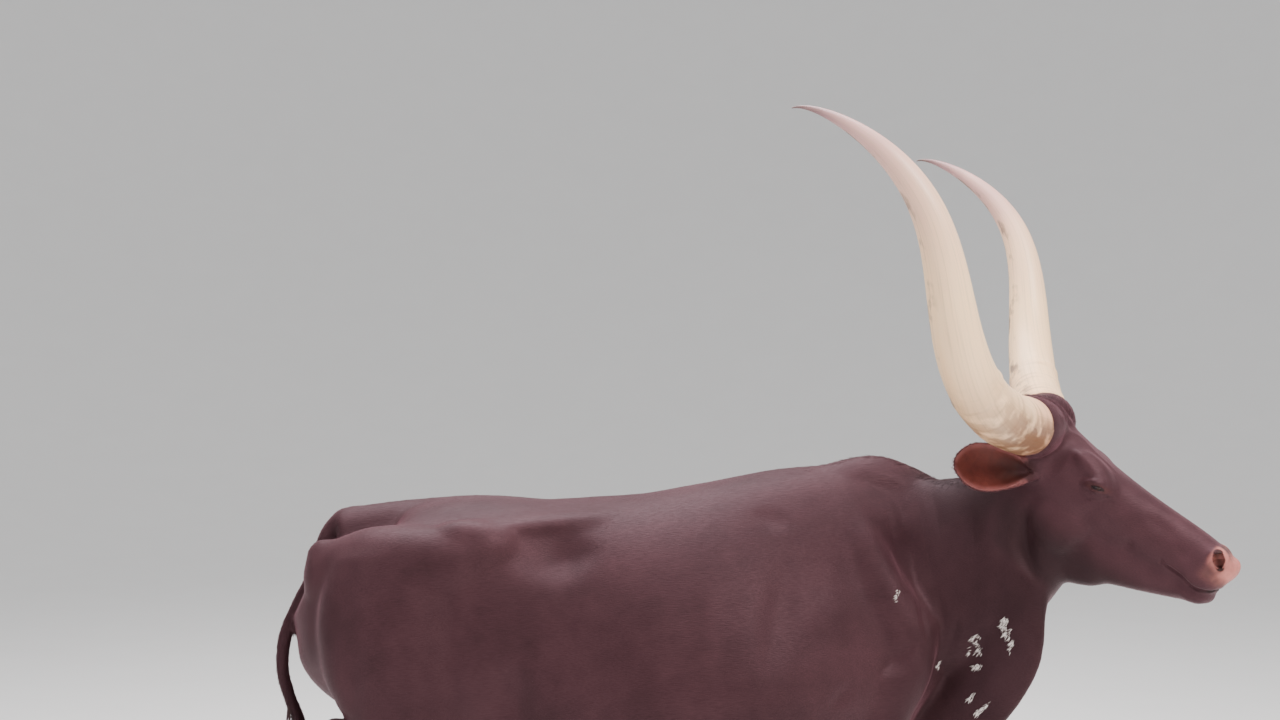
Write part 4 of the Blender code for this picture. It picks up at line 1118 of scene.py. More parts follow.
    def stroked(self, skin: Thing, strokes: Sequence[tuple[Array, float, float]]) -> None:
        """Moves the skin in or out along paths.

        Args:
            skin: The skin.
            strokes: For each its path, its width, and how far in it goes.
        """
        points, ways = points_of(skin), normals_of(skin)
        tree = BVHTree.FromObject(skin, bpy.context.evaluated_depsgraph_get())
        moved = np.zeros(len(points))
        for path, width, depth in strokes:
            snapped = np.array([tree.find_nearest(Vector(at))[0] for at in through(path, 5)])
            low, high = snapped.min(axis=0) - 2.5 * width, snapped.max(axis=0) + 2.5 * width
            near = np.flatnonzero(((points > low) & (points < high)).all(axis=1))
            far, along = path_distance(points[near], snapped)
            long = np.linalg.norm(np.diff(snapped, axis=0), axis=1).sum()
            fade = min(self.end_fade * width / long, 0.5)
            ends = step(along, 0.0, fade) * step(along, 1.0, 1.0 - fade)
            moved[near] += depth * ends * np.exp(-(far / (width * (0.5 + 0.5 * ends))) ** 2 * 1.6)
        set_points(skin, points - ways * moved[:, None])

    def from_photo(self, skin: Thing) -> list[tuple[Array, float, float]]:
        """The strokes that follow the photograph, set on the skin behind their pixels.

        Args:
            skin: The skin.

        Returns:
            For each its path, its width, and how far in it goes.
        """
        tree = BVHTree.FromObject(skin, bpy.context.evaluated_depsgraph_get())
        made = []
        for path, width, depth in self.photo_strokes:
            hits = [tree.ray_cast(*self.camera.ray(*pixel))[0] for pixel in path]
            hits = [hit for hit in hits if hit is not None]
            if len(hits) > 1:
                made.append((np.array(hits), width, depth))
        return made

    @staticmethod
    def on_both(strokes: Sequence[tuple], place: Matrix) -> list[tuple[Array, float, float]]:
        """Strokes of both sides, carried by a matrix."""
        return [(carried(across(path, side), place), width, depth)
                for path, width, depth in strokes for side in Side]

    def thinned(self, skin: Thing) -> None:
        """Fewer faces, none of them taken from the head.

        Args:
            skin: The skin.
        """
        group = skin.vertex_groups.new(name="plain")
        body = np.flatnonzero(Places.head(points_of(skin)) < 0.5).tolist()
        group.add(body, 1.0, "REPLACE")
        fewer = skin.modifiers.new("fewer", "DECIMATE")
        fewer.ratio = self.thinned_to / (2 * len(skin.data.polygons))
        fewer.vertex_group = "plain"
        apply_all(skin)
        skin.vertex_groups.clear()

    def finer(self, skin: Thing) -> None:
        """Smaller faces about the eyes, the nose and the mouth.

        Args:
            skin: The skin.
        """
        points = points_of(skin)
        at = Places.left(points)
        near = Places.eyes(points) > 0.02
        near |= (at[:, 0] > 0.462) & (Places.head(points) > 0.5)
        near |= (path_distance(at, MOUTH_LINE)[0] < 0.02) & (Places.head(points) > 0.5)
        only(skin)
        bpy.ops.object.mode_set(mode="EDIT")
        bpy.ops.mesh.select_mode(type="VERT")
        bpy.ops.mesh.select_all(action="DESELECT")
        bpy.ops.object.mode_set(mode="OBJECT")
        skin.data.vertices.foreach_set("select", near)
        bpy.ops.object.mode_set(mode="EDIT")
        bpy.ops.mesh.select_mode(type="FACE")
        bpy.ops.mesh.subdivide(number_cuts=1, smoothness=0.0)
        bpy.ops.mesh.select_all(action="SELECT")
        bpy.ops.mesh.quads_convert_to_tris()
        bpy.ops.mesh.select_mode(type="VERT")
        bpy.ops.object.mode_set(mode="OBJECT")
        points = points_of(skin)
        soften(skin, Places.head(points) * step(Places.local(points)[:, 0], 0.44, 0.48), 3)

    def opened(self, skin: Thing) -> None:
        """Cuts the slits of the eyes and the nostrils.

        Args:
            skin: The skin.
        """
        plain = ball((0, 0, 0), self.slit)
        slit = Shape(plain.points @ EYE_SLIT_TURN.T + EYE_SLIT_AT, plain.triangles)
        hole = round_tube(NOSTRIL_PATH, NOSTRIL_RADII, 20, 6)
        for side in Side:
            for cutter in (slit, hole):
                triangles = cutter.triangles if side is Side.LEFT else cutter.triangles[:, ::-1]
                boolean(skin, Shape(across(cutter.points, side), triangles).placed(HEAD), "DIFFERENCE")

    def shod(self, skin: Thing) -> None:
        """Ends each leg on the sloping plane where its claws begin.

        Args:
            skin: The skin.
        """
        reach, deep, slope = 0.14, 0.1, math.tan(HOOF_SLOPE)
        for foot in feet().values():
            outline = ((-reach, -deep), (-reach, HOOF_TOP - slope * reach), (reach, HOOF_TOP + slope * reach),
                       (reach, -deep))
            rings = np.array([[(foot[0] + x, foot[1] + out, z) for x, z in outline] for out in (-deep, deep)])
            boolean(skin, tube(rings).placed(TRUNK), "DIFFERENCE")

    def build(self) -> Thing:
        """Makes the skin.

        Returns:
            The skin's object.
        """
        skin = self.fused()
        LOG.info("skin fused: %d faces", len(skin.data.polygons))
        self.softened(skin)
        self.stroked(skin, self.on_both(self.body_strokes, TRUNK))
        soften(skin, 1.0 - Places.slim(points_of(skin)), self.fold_rounds)
        self.stroked(skin, self.from_photo(skin) + self.on_both(self.head_strokes, HEAD))
        points = points_of(skin)
        soften(skin, 1.0 - np.maximum(Places.eyes(points), Places.tail(points)), self.fine_rounds)
        LOG.info("skin folded")
        self.thinned(skin)
        self.finer(skin)
        self.stroked(skin, self.on_both(self.fine_strokes, HEAD))
        LOG.info("skin thinned: %d faces", len(skin.data.polygons))
        for side in Side:
            boolean(skin, Ear(side).shape(), "UNION")
        from_root = np.linalg.norm(Places.left(points_of(skin)) - EAR_ROOT, axis=1)
        soften(skin, step(from_root, 0.062, 0.04), self.root_rounds)
        self.opened(skin)
        self.shod(skin)
        points = points_of(skin)
        depth = self.coat_depth * (1.0 - np.maximum(Places.eyes(points), Places.ears(points)))
        set_points(skin, points - normals_of(skin) * depth[:, None])
        LOG.info("skin opened: %d faces", len(skin.data.polygons))
        skin.data.shade_smooth()
        return skin


def feet() -> dict[str, tuple[float, float]]:
    """The middle of each foot on the floor.

    Returns:
        Forward and left of the trunk's middle, by the name of the leg.
    """
    made = {}
    for side in Side:
        made[f"leg_fore_{side.word}"] = Foreleg(side, STEP_FORE[side]).foot
        made[f"leg_hind_{side.word}"] = HindLeg(side, STEP_HIND[side]).foot
    return made


def horn_line(samples: int = 160) -> Array:
    """The middle line of the left horn.

    Args:
        samples: How many points it has.

    Returns:
        Rows of three numbers, forward, left and up of the poll.
    """
    share = np.linspace(0, 1, samples)[:, None]
    order = len(HORN_PATH) - 1
    line = sum(math.comb(order, i) * share ** i * (1 - share) ** (order - i) * np.array(at)
               for i, at in enumerate(HORN_PATH))
    lengths = np.concatenate([[0.0], np.cumsum(np.linalg.norm(np.diff(line, axis=0), axis=1))])
    even = np.linspace(0, lengths[-1], samples)
    return np.stack([np.interp(even, lengths, line[:, axis]) for axis in range(3)], -1)


def horn_radius(share: Array) -> Array:
    """The radius of a horn at shares of its length, drawn in where it sits in the head."""
    seat = 0.62 + 0.38 * step(share, 0.0, 0.095)
    return HORN_RADIUS * seat * (1.0 - share ** HORN_TAPER) + 0.0012


class Markings:
    """The colours of the cow, place by place."""

    BODY = (0.035, 0.0146, 0.0172)
    NECK = (0.0178, 0.0076, 0.0085)
    FACE = (0.041, 0.0172, 0.0205)
    LEG = (0.018, 0.007, 0.008)
    BLACK = (0.012, 0.007, 0.007)
    CUP = (0.11, 0.026, 0.02)
    # the ear's rim: its red-brown hair made lighter by a painted highlight
    LIT_RIM = (0.24, 0.085, 0.082)
    LID = (0.052, 0.019, 0.018)
    CORNER = (0.24, 0.09, 0.08)
    CREAM = (0.42, 0.15, 0.128)
    MUZZLE = (0.105, 0.042, 0.04)
    # painted shade: deep in the ear's cup, at the ear's root and inside the nostrils
    INSIDE = (0.022, 0.007, 0.006)
    TEAT = (0.3, 0.13, 0.12)
    FLECK = (0.72, 0.66, 0.62)
    # pixels of the photograph where the white hairs are, and how far round each they reach
    fleck_pixels: tuple = ((977, 637, 4), (978, 644, 3), (1003, 627, 4), (1009, 634, 5), (1013, 643, 4),
                           (1006, 622, 3), (981, 652, 4), (978, 668, 3), (971, 650, 3), (940, 664, 4),
                           (971, 697, 3), (981, 709, 3), (899, 594, 3))

    def __init__(self, skin: Thing, camera: PhotoCamera) -> None:
        """Finds the flecks on the skin.

        Args:
            skin: The skin.
            camera: The camera of the photograph.
        """
        tree = BVHTree.FromObject(skin, bpy.context.evaluated_depsgraph_get())
        self.flecks = []
        for across_px, down_px, reach in self.fleck_pixels:
            hit = tree.ray_cast(*camera.ray(across_px, down_px))[0]
            if hit is not None:
                self.flecks.append((np.array(hit), reach * 0.0024))

    @staticmethod
    def mottle(points: Array, size: float, seed: int) -> Array:
        """A soft uneven pattern, the same for the same place.

        Args:
            points: Points in the part's own frame.
            size: How wide its patches are.
            seed: Which pattern it is.

        Returns:
            Numbers from minus one to one, or a little past them.
        """
        rng = np.random.default_rng(seed)
        total = np.zeros(len(points))
        for _ in range(7):
            way = unit(rng.normal(size=3))
            total += np.sin(points @ way * (rng.uniform(0.7, 1.6) * 2 * math.pi / size) + rng.uniform(0, 6.3))
        return total / 3.5

    def bare(self, points: Array) -> Array:
        """How bare of hair each point is.

        Args:
            points: Points in the part's own frame.

        Returns:
            Shares from nought to one.
        """
        at = Places.left(points)
        nose = step(at[:, 0], 0.472, 0.486) * step(at[:, 2], -0.086, -0.07)
        lips = step(path_distance(at, MOUTH_LINE)[0], 0.009, 0.005)
        lid = step(np.abs(self.from_slit(at) - 1.0), 0.3, 0.16)
        teats = step(Places.body(points)[:, 2], 0.628, 0.612) * Places.udder(points)
        return np.max([nose, lips, lid, self.cup(at), teats], axis=0)

    @staticmethod
    def from_slit(at: Array) -> Array:
        """How far points are from the eye's slit, for its own size. It takes points of the left side."""
        x, y, z = ((at - EYE_SLIT_AT) @ EYE_SLIT_TURN).T
        return np.sqrt((x / 0.013) ** 2 + (z / 0.004) ** 2 + (y / 0.02) ** 2)

    @staticmethod
    def cup(at: Array) -> Array:
        """How much each point lies in the cup of an ear.

        Args:
            at: Points of the left side, forward, left and up of the poll.

        Returns:
            Shares from nought to one.
        """
        ear = Ear(Side.LEFT)
        axis = EAR_TIP - EAR_ROOT
        u = np.clip((at - EAR_ROOT) @ axis / (axis @ axis), 0, 1)
        table_u = np.linspace(0, 1, 21)
        backs = np.array([ear.point(share, np.zeros(1), 0.0)[0] for share in table_u])
        offset = at - np.stack([np.interp(u, table_u, backs[:, i]) for i in range(3)], -1)
        radius = ear.rolled(u)[0]
        inner = radius - np.hypot(offset @ EAR_WIDE, radius - offset @ EAR_MOUTH)
        near = step(np.linalg.norm(offset, axis=1), 0.085, 0.07) * step(at[:, 1], 0.098, 0.11)
        return step(inner, -0.0006, 0.0012) * near * step(u, 0.1, 0.22)

    def flecked(self, points: Array) -> Array:
        """How densely the white hairs stand at each point.

        Args:
            points: Points in the part's own frame.

        Returns:
            Shares from nought to one.
        """
        made = np.zeros(len(points))
        ragged = self.mottle(points, 0.012, 11)
        for middle, reach in self.flecks:
            far = np.linalg.norm((points - middle) * (1.35, 1.0, 0.72), axis=1)
            made = np.maximum(made, step(far + 0.3 * reach * ragged, reach, 0.4 * reach))
        return made

    def colour(self, points: Array) -> Array:
        """The colour at each point.

        Args:
            points: Points in the part's own frame.

        Returns:
            Rows of red, green, blue and one.
        """
        at = Places.left(points)
        x, _, z = Places.body(points).T
        head = Places.head(points)
        tone = np.tile(self.BODY, (len(points), 1))

        def lay(colour: tuple, share: Array) -> None:
            """Lays a colour over what is there, as far as its share says."""
            tone[:] = tone + (np.array(colour) - tone) * np.clip(share, 0, 1)[:, None]

        drift = self.mottle(points, 0.23, 3)
        lay(self.NECK, step(x + 0.06 * drift + 0.25 * (1.0 - z), 0.5, 0.74))
        # painted shade along the top of the upper neck
        lay(self.BLACK, step(x, 0.56, 0.66) * step(z, 1.14, 1.3) * 0.8)
        lay(self.FACE, step(x, 0.6, 0.72) * step(z, 1.02, 0.86) * 0.35)
        lay(self.FACE, head)
        # painted shade under the jaw
        lay(self.NECK, head * step(at[:, 2], -0.15, -0.235) * 0.9)
        lay(self.BLACK, head * step(at[:, 2], -0.18, -0.25) * 0.55)
        low = step(z + 0.05 * drift, 0.86, 0.52)
        lay(self.LEG, low * 0.85)
        lay(self.BLACK, step(z, 0.24, 0.08) * 0.6)
        lay(self.BLACK, step(z, 0.075, 0.066) * 0.5)
        lay(self.BLACK, Places.tail(points) * step(z, 0.85, 0.62) * 0.6)
        tone *= (1.0 + 0.16 * drift + 0.1 * self.mottle(points, 0.06, 5))[:, None]
        cup = self.cup(at)
        lay(self.CUP, cup)
        # painted shade deep in the ear's cup and round its root
        lay(self.INSIDE, cup * step(np.linalg.norm(at - EAR_ROOT, axis=1), 0.12, 0.045) * 0.75)
        lay(self.INSIDE, step(np.linalg.norm(at - EAR_PIT_SHADE, axis=1), 0.036, 0.014) * 0.8)
        # painted highlight on the ear's rim, over its red-brown hair
        lay(self.LIT_RIM, Places.ears(points) * step(Ear(Side.LEFT).from_rim(at), 0.016, 0.003) * 0.6)
        slit = self.from_slit(at)
        lay(self.LID, step(slit, 3.2, 1.4) * 0.75)
        lay(self.BLACK, step(slit, 1.3, 1.1))
        corner = np.linalg.norm(at - EYE_CORNER, axis=1)
        lay(self.CORNER, step(corner, 0.0062, 0.0028))
        nostril, along = path_distance(at, NOSTRIL_PATH)
        rim = nostril - np.interp(along, (0.0, 0.5, 1.0), NOSTRIL_RADII)
        ragged = 0.003 * self.mottle(points, 0.02, 7)
        snout = step(at[:, 0], 0.462, 0.488) * step(at[:, 2], -0.096, -0.074) * head
        lay(self.MUZZLE, snout * 0.75)
        front = step(at[:, 0] + ragged, 0.494, 0.522) * step(at[:, 2] + ragged, -0.082, -0.046)
        wing = step(nostril + ragged, 0.031, 0.017) * step(at[:, 2] + ragged, -0.066, -0.038)
        lay(self.CREAM, np.maximum(front, wing * step(at[:, 0], 0.464, 0.478) * 0.75))
        # painted shade inside the nostrils
        lay(self.INSIDE, step(rim, 0.0024, 0.0004))
        # painted shade along the crease where the lips meet
        lay(self.BLACK, step(path_distance(at, MOUTH_LINE)[0], 0.006, 0.0025))
        lay(self.TEAT, step(Places.body(points)[:, 2], 0.64, 0.6) * Places.udder(points) * 0.8)
        return np.hstack([np.clip(tone, 0.003, 1.0), np.ones((len(points), 1))])


class Roots(NamedTuple):
    """Where tufts grow: their places, the way the skin faces there, and their places on its map."""

    points: Array
    normals: Array
    maps: Array

    def only(self, wanted: Array) -> "Roots":
        """Some of the roots."""
        return Roots(self.points[wanted], self.normals[wanted], self.maps[wanted])


class Lie:
    """The way in which the hair lies, place by place."""

    @staticmethod
    def ways(roots: Roots) -> Array:
        """The way of the hair at each root, along the skin.

        Args:
            roots: The roots.

        Returns:
            Rows of three numbers, each with a length of one.
        """
        at = Places.local(roots.points)
        side = np.sign(at[:, 1])
        turn = np.array(HEAD.to_3x3())
        head, legs, tail = Places.head(roots.points), Places.legs(roots.points), Places.tail(roots.points)
        x, _, z = Places.body(roots.points).T
        ways = np.tile((-1.0, 0.0, -0.35), (len(at), 1))

        def lay(way: Array, share: Array) -> None:
            """Turns the hair towards a way, as far as its share says."""
            ways[:] = ways + (way - ways) * share[:, None]

        lay(np.array((-0.72, 0.05, -0.7)), step(x, 0.42, 0.62))
        lay(np.array((-0.75, 0.0, 0.25)), step(x, -0.3, -0.5) * step(z, 0.95, 1.1) * 0.5)
        lay(np.array((-0.15, 0.0, -1.0)), legs)
        lay(np.array((-0.1, 0.0, -1.0)), tail)
        face = np.array((1.0, 0.0, -0.12)) @ turn.T
        crown = np.stack([np.full(len(at), -0.8), 0.5 * side, np.full(len(at), 0.25)], -1) @ turn.T
        cheek = np.array((-0.45, 0.0, -0.75)) @ turn.T
        lay(face, head)
        lay(cheek, head * step(at[:, 0], 0.36, 0.2) * step(at[:, 2], -0.085, -0.12))
        lay(crown, head * step(at[:, 0], 0.15, 0.09) * step(at[:, 2], -0.105, -0.08))
        ear = unit(EAR_TIP - EAR_ROOT) * np.stack([np.ones(len(at)), side, np.ones(len(at))], -1)
        lay(ear @ turn.T, Places.ears(roots.points))
        ways = unit(ways)
        return unit(ways - (ways * roots.normals).sum(1)[:, None] * roots.normals)


@dataclass
class Tufts:
    """Pointed closed tufts, each with three sides."""

    rings: int = 1
    lift: float = 0.16
    droop: float = 0.0
    spread: float = 0.22
    sunk: float = 0.001

    def mesh(self, name: str, roots: Roots, ways: Array, lengths: Array, halves: Array, tones: Array,
             rng: np.random.Generator) -> Thing:
        """Makes a piece of tufts.

        Args:
            name: The piece's name.
            roots: Where the tufts grow.
            ways: The way each lies, along the skin.
            lengths: How long each is.
            halves: Half the width of each at its root.
            tones: The colour of each.
            rng: What makes them uneven.

        Returns:
            The piece's object.
        """
        count, rings = len(roots.points), self.rings
        normals = roots.normals
        cross = np.cross(ways, normals)
        turned = unit(ways + cross * rng.normal(0.0, self.spread, count)[:, None])
        lift = self.lift * rng.uniform(0.55, 1.35, count)[:, None]
        start = unit(turned * np.cos(lift) + normals * np.sin(lift))
        across_way = unit(np.cross(start, normals))
        up = np.cross(across_way, start)
        corners = ((1.0, 0.0), (-1.0, 0.0), (0.0, 0.75))
        down = np.array((0.0, 0.0, -1.0))
        places = np.empty((count, 3 * rings + 1, 3))
        facing = np.empty_like(places)
        for ring in range(rings + 1):
            share = ring / rings
            bend = down * (self.droop * share ** 2) - normals * (0.25 * np.sin(lift) * share ** 2)
            middle = roots.points - normals * self.sunk + lengths[:, None] * (start * share + bend)
            if ring == rings:
                places[:, -1] = middle
                facing[:, -1] = normals
                continue
            width = halves * (1.0 - share ** 1.5)
            for corner, (beside, above) in enumerate(corners):
                offset = across_way * beside + up * above
                places[:, 3 * ring + corner] = middle + offset * width[:, None]
                facing[:, 3 * ring + corner] = unit(normals + 0.45 * offset)
        one = [(0, 2, 1)]
        for ring in range(rings - 1):
            for corner in range(3):
                a, b = 3 * ring + corner, 3 * ring + (corner + 1) % 3
                one += [(a, b, b + 3), (a, b + 3, a + 3)]
        one += [(3 * rings - 3 + corner, 3 * rings - 3 + (corner + 1) % 3, 3 * rings) for corner in range(3)]
        size = 3 * rings + 1
        triangles = (np.array(one)[None] + (np.arange(count) * size)[:, None, None]).reshape(-1, 3)
        piece = Shape(places.reshape(-1, 3), triangles).as_object(name)
        set_attribute(piece, "tone", np.repeat(tones, size, axis=0))
        patch = np.tile(((-0.0015, -0.0015), (0.0015, -0.0015), (0.0, 0.0)), (rings, 1))
        patch = np.vstack([patch, ((0.0, 0.0015),)])
        maps = (roots.maps[:, None] + patch[None]).reshape(-1, 2)
        layer = piece.data.uv_layers.new(name="OFBake")
        layer.data.foreach_set("uv", maps[triangles.ravel()].astype(np.float32).ravel())
        piece.data.shade_smooth()
        piece.data.normals_split_custom_set_from_vertices(facing.reshape(-1, 3).astype(np.float32))
        return piece


@dataclass
class Coat:
    """The short hair that stands proud of the skin, in a few pieces."""

    skin: Thing
    markings: Markings
    count: int = 150_000
    seed: int = 11

    def __post_init__(self) -> None:
        """Reads the skin's triangles and its map."""
        mesh = self.skin.data
        mesh.calc_loop_triangles()
        triangles = mesh.loop_triangles
        corners, loops = read(triangles, "vertices", 3), read(triangles, "loops", 3)
        hairy = read(mesh.polygons, "material_index")[read(triangles, "polygon_index")] == 0
        self.points = points_of(self.skin)[corners[hairy]]
        self.normals = normals_of(self.skin)[corners[hairy]]
        self.maps = read(mesh.uv_layers["OFBake"].data, "uv", 2, np.float32)[loops[hairy]]
        sides = np.cross(self.points[:, 1] - self.points[:, 0], self.points[:, 2] - self.points[:, 0])
        self.areas = np.linalg.norm(sides, axis=1) / 2
        self.rng = np.random.default_rng(self.seed)

    def scattered(self, weights: Array, count: int) -> Roots:
        """Roots strewn evenly over the skin.

        Args:
            weights: How densely they stand on each triangle, next to the others.
            count: How many there are.

        Returns:
            The roots.
        """
        run = np.cumsum(self.areas * weights)
        picks = np.searchsorted(run, (np.arange(count) + self.rng.random(count)) / count * run[-1])
        picks = np.minimum(picks, len(run) - 1)
        first, second = self.rng.random(count), self.rng.random(count)
        over = first + second > 1
        first[over], second[over] = 1 - first[over], 1 - second[over]
        shares = np.stack([1 - first - second, first, second], -1)[:, :, None]
        return Roots((self.points[picks] * shares).sum(1), unit((self.normals[picks] * shares).sum(1)),
                     (self.maps[picks] * shares).sum(1))

    def allowed(self, points: Array) -> Array:
        """Nought where the horns and the hooves cover the skin, and one elsewhere.

        Args:
            points: Places on the skin.

        Returns:
            Nought or one for each.
        """
        far, along = path_distance(Places.left(points), horn_line(60))
        clear = far > horn_radius(along) + 0.001
        return (clear & (Places.body(points)[:, 2] > HOOF_TOP + 0.004)).astype(float)

    def plan(self, points: Array) -> tuple[Array, Array]:
        """How densely the hair stands, and how long it is.

        Args:
            points: Places on the skin.

        Returns:
            The density next to that of the trunk, and the length.
        """
        at = Places.left(points)
        z = Places.body(points)[:, 2]
        head, legs, ears = Places.head(points), Places.legs(points), Places.ears(points)
        tail = Places.tail(points)
        density = 1.0 + 1.8 * head + 0.9 * legs + 1.6 * ears + 1.6 * tail
        length = 0.0098 - 0.004 * head - 0.0022 * legs + 0.001 * ears + 0.007 * tail
        length -= 0.0016 * head * step(at[:, 0], 0.4, 0.5)
        length -= 0.002 * Places.eyes(points)
        length += 0.004 * (1 - head) * (1 - legs) * step(z, 0.7, 0.6)
        length += 0.005 * step(np.abs(at[:, 0] - 0.01), 0.085, 0.03) * step(at[:, 2], -0.1, -0.03) * head
        length += 0.006 * legs * step(z, 0.17, 0.11) * step(z, 0.05, 0.08)
        return density * self.allowed(points), length

    def build(self, material: Material) -> list[Thing]:
        """Makes the short coat, piece by piece.

        Args:
            material: What it is dressed in.

        Returns:
            The pieces.
        """
        middles = self.points.mean(axis=1)
        roots = self.scattered(self.plan(middles)[0], self.count)
        density, length = self.plan(roots.points)
        roots, length = roots.only(density > 0), length[density > 0]
        head = Places.head(roots.points) + Places.ears(roots.points) > 0.5
        legs = Places.legs(roots.points) > 0.5
        x = Places.body(roots.points)[:, 0]
        zone = np.select([head, legs, x > 0.5, x > 0.05, x > -0.4], [0, 1, 2, 3, 4], 5)
        names = ("coat_head", "coat_legs", "coat_neck", "coat_ribs", "coat_flank", "coat_rump")
        made = []
        for index, name in enumerate(names):
            wanted = zone == index
            some, long = roots.only(wanted), length[wanted]
            long = long * self.rng.uniform(0.7, 1.25, len(long))
            halves = (0.0005 + 0.045 * long) * self.rng.uniform(0.8, 1.2, len(long))
            tones = self.markings.colour(some.points)
            tones[:, :3] *= self.rng.uniform(0.8, 1.22, len(long))[:, None]
            piece = Tufts().mesh(name, some, Lie.ways(some), long, halves, tones, self.rng)
            LOG.info("%s: %d tufts", name, len(long))
            made.append(dressed(piece, material))
        return made

    def fringed(self, material: Material) -> list[Thing]:
        """Makes the longer hair: the poll, the ear rims, the brisket and the pasterns.

        Args:
            material: What it is dressed in.

        Returns:
            The pieces.
        """
        middles = self.points.mean(axis=1)
        at = Places.left(middles)
        x, _, z = Places.body(middles).T
        allowed, head, legs = self.allowed(middles), Places.head(middles), Places.legs(middles)
        poll = head * step(np.abs(at[:, 0] + 0.005), 0.07, 0.035) * step(at[:, 2], -0.055, -0.02)
        poll *= step(at[:, 1], 0.075, 0.05)
        edge = np.abs(self.normals[:, 0, 1]) < 0.45
        crest = (1 - head) * edge * step(z, 1.2, 1.25) * step(x, 0.3, 0.45) * 0.5
        brisket = (1 - head) * edge * step(z, 0.66, 0.58) * step(x, 0.25, 0.45) * (1 - legs)
        pastern = legs * step(z, 0.19, 0.15) * step(z, 0.075, 0.1) * (self.normals[:, 0, 0] < -0.3)
        ears = Places.ears(middles) * step(Ear(Side.LEFT).from_rim(at), 0.01, 0.004)
        flecks = self.markings.flecked(middles)
        made = []
        # name, where it grows, how many locks, how long, lift and droop
        for name, weights, count, long, lift, droop in (
                ("hair_poll", poll, 900, 0.019, 0.4, 0.15),
                ("hair_crest", crest, 2600, 0.02, 0.22, 0.1),
                ("hair_brisket", brisket, 1800, 0.022, 0.3, 0.35),
                ("hair_pasterns", pastern, 1300, 0.02, 0.3, 0.3),
                ("hair_ears", ears, 1900, 0.0085, 0.38, 0.1),
                ("hair_flecks", flecks, 430, 0.012, 0.2, 0.05)):
            roots = self.scattered(weights * allowed + 1e-12, count)
            lengths = long * self.rng.uniform(0.6, 1.3, count)
            halves = np.full(count, 0.0009) * self.rng.uniform(0.7, 1.2, count)
            tones = self.markings.colour(roots.points)
            if weights is flecks:
                tones[:, :3] = Markings.FLECK
            tones[:, :3] *= self.rng.uniform(0.65, 1.15, count)[:, None]
            tufts = Tufts(rings=3, lift=lift, droop=droop, spread=0.3)
            piece = tufts.mesh(name, roots, Lie.ways(roots), lengths, halves, tones, self.rng)
            LOG.info("%s: %d locks", name, count)
            made.append(dressed(piece, material))
        return made


@dataclass
class Switch:
    """The long hair at the end of the tail."""

    count: int = 460
    long: float = 0.3
    seed: int = 23

    def build(self, material: Material) -> Thing:
        """Makes the switch.

        Args:
            material: What it is dressed in.

        Returns:
            The switch's object.
        """
        rng = np.random.default_rng(self.seed)
        path = through(TAIL_PATH[-4:], 12)
        share = rng.beta(2.2, 1.1, self.count)
        middle = rows_at(path, share * (len(path) - 1))
        turn = rng.uniform(0, 2 * math.pi, self.count)
        out = np.stack([np.cos(turn), np.sin(turn), np.zeros(self.count)], -1)
        roots = carried(middle + out * 0.012, TRUNK)
        ways = np.tile((0.03, 0.0, -1.0), (self.count, 1)) + out * 0.05
        lengths = (self.long * 0.93 - (1 - share) * 0.02) * rng.uniform(0.55, 1.0, self.count)
        halves = rng.uniform(0.0022, 0.004, self.count)
        tones = np.tile((0.022, 0.013, 0.012, 1.0), (self.count, 1))
        tones[:, :3] *= rng.uniform(0.6, 1.8, self.count)[:, None]
        maps = rng.random((self.count, 2)) * 0.04 + 0.005
        tufts = Tufts(rings=6, lift=0.1, droop=0.02, spread=0.05, sunk=0.004)
        piece = tufts.mesh("switch_hair", Roots(roots, out, maps), unit(ways), lengths, halves, tones, rng)
        return dressed(piece, material)


@dataclass
class Lashes:
    """The lashes of one eye."""

    side: Side
    count: int = 34
    seed: int = 31

    def build(self, material: Material) -> Thing:
        """Makes the lashes.

        Args:
            material: What they are dressed in.

        Returns:
            Their object.
        """
        rng = np.random.default_rng(self.seed)
        turn = np.linspace(0.12 * math.pi, 0.88 * math.pi, self.count)
        rim = np.stack([0.0136 * np.cos(turn), np.full(self.count, -0.0015), 0.0043 * np.sin(turn)], -1)
        rim = rim @ EYE_SLIT_TURN.T + EYE_SLIT_AT
        out = unit(rim - EYE_AT)
        ways = unit(out * 0.9 + np.array((0.35, 0.0, -0.55)) + rng.normal(0, 0.08, (self.count, 3)))
        lengths = 0.0145 * (0.55 + 0.45 * np.sin(turn)) * rng.uniform(0.8, 1.15, self.count)
        place = across(rim, self.side), across(np.tile((0.0, 0.2, 1.0), (self.count, 1)), self.side)
        roots = Roots(carried(place[0], HEAD), unit(place[1] @ np.array(HEAD.to_3x3()).T),
                      np.full((self.count, 2), 0.02) + rng.random((self.count, 2)) * 0.004)
        ways = across(ways, self.side) @ np.array(HEAD.to_3x3()).T
        tones = np.tile((0.01, 0.007, 0.007, 1.0), (self.count, 1))
        tufts = Tufts(rings=3, lift=0.0, droop=0.0, spread=0.04, sunk=0.0)
        halves = np.full(self.count, 0.00042)
        piece = tufts.mesh(f"lashes_{self.side.word}", roots, ways, lengths, halves, tones, rng)
        return dressed(piece, material)


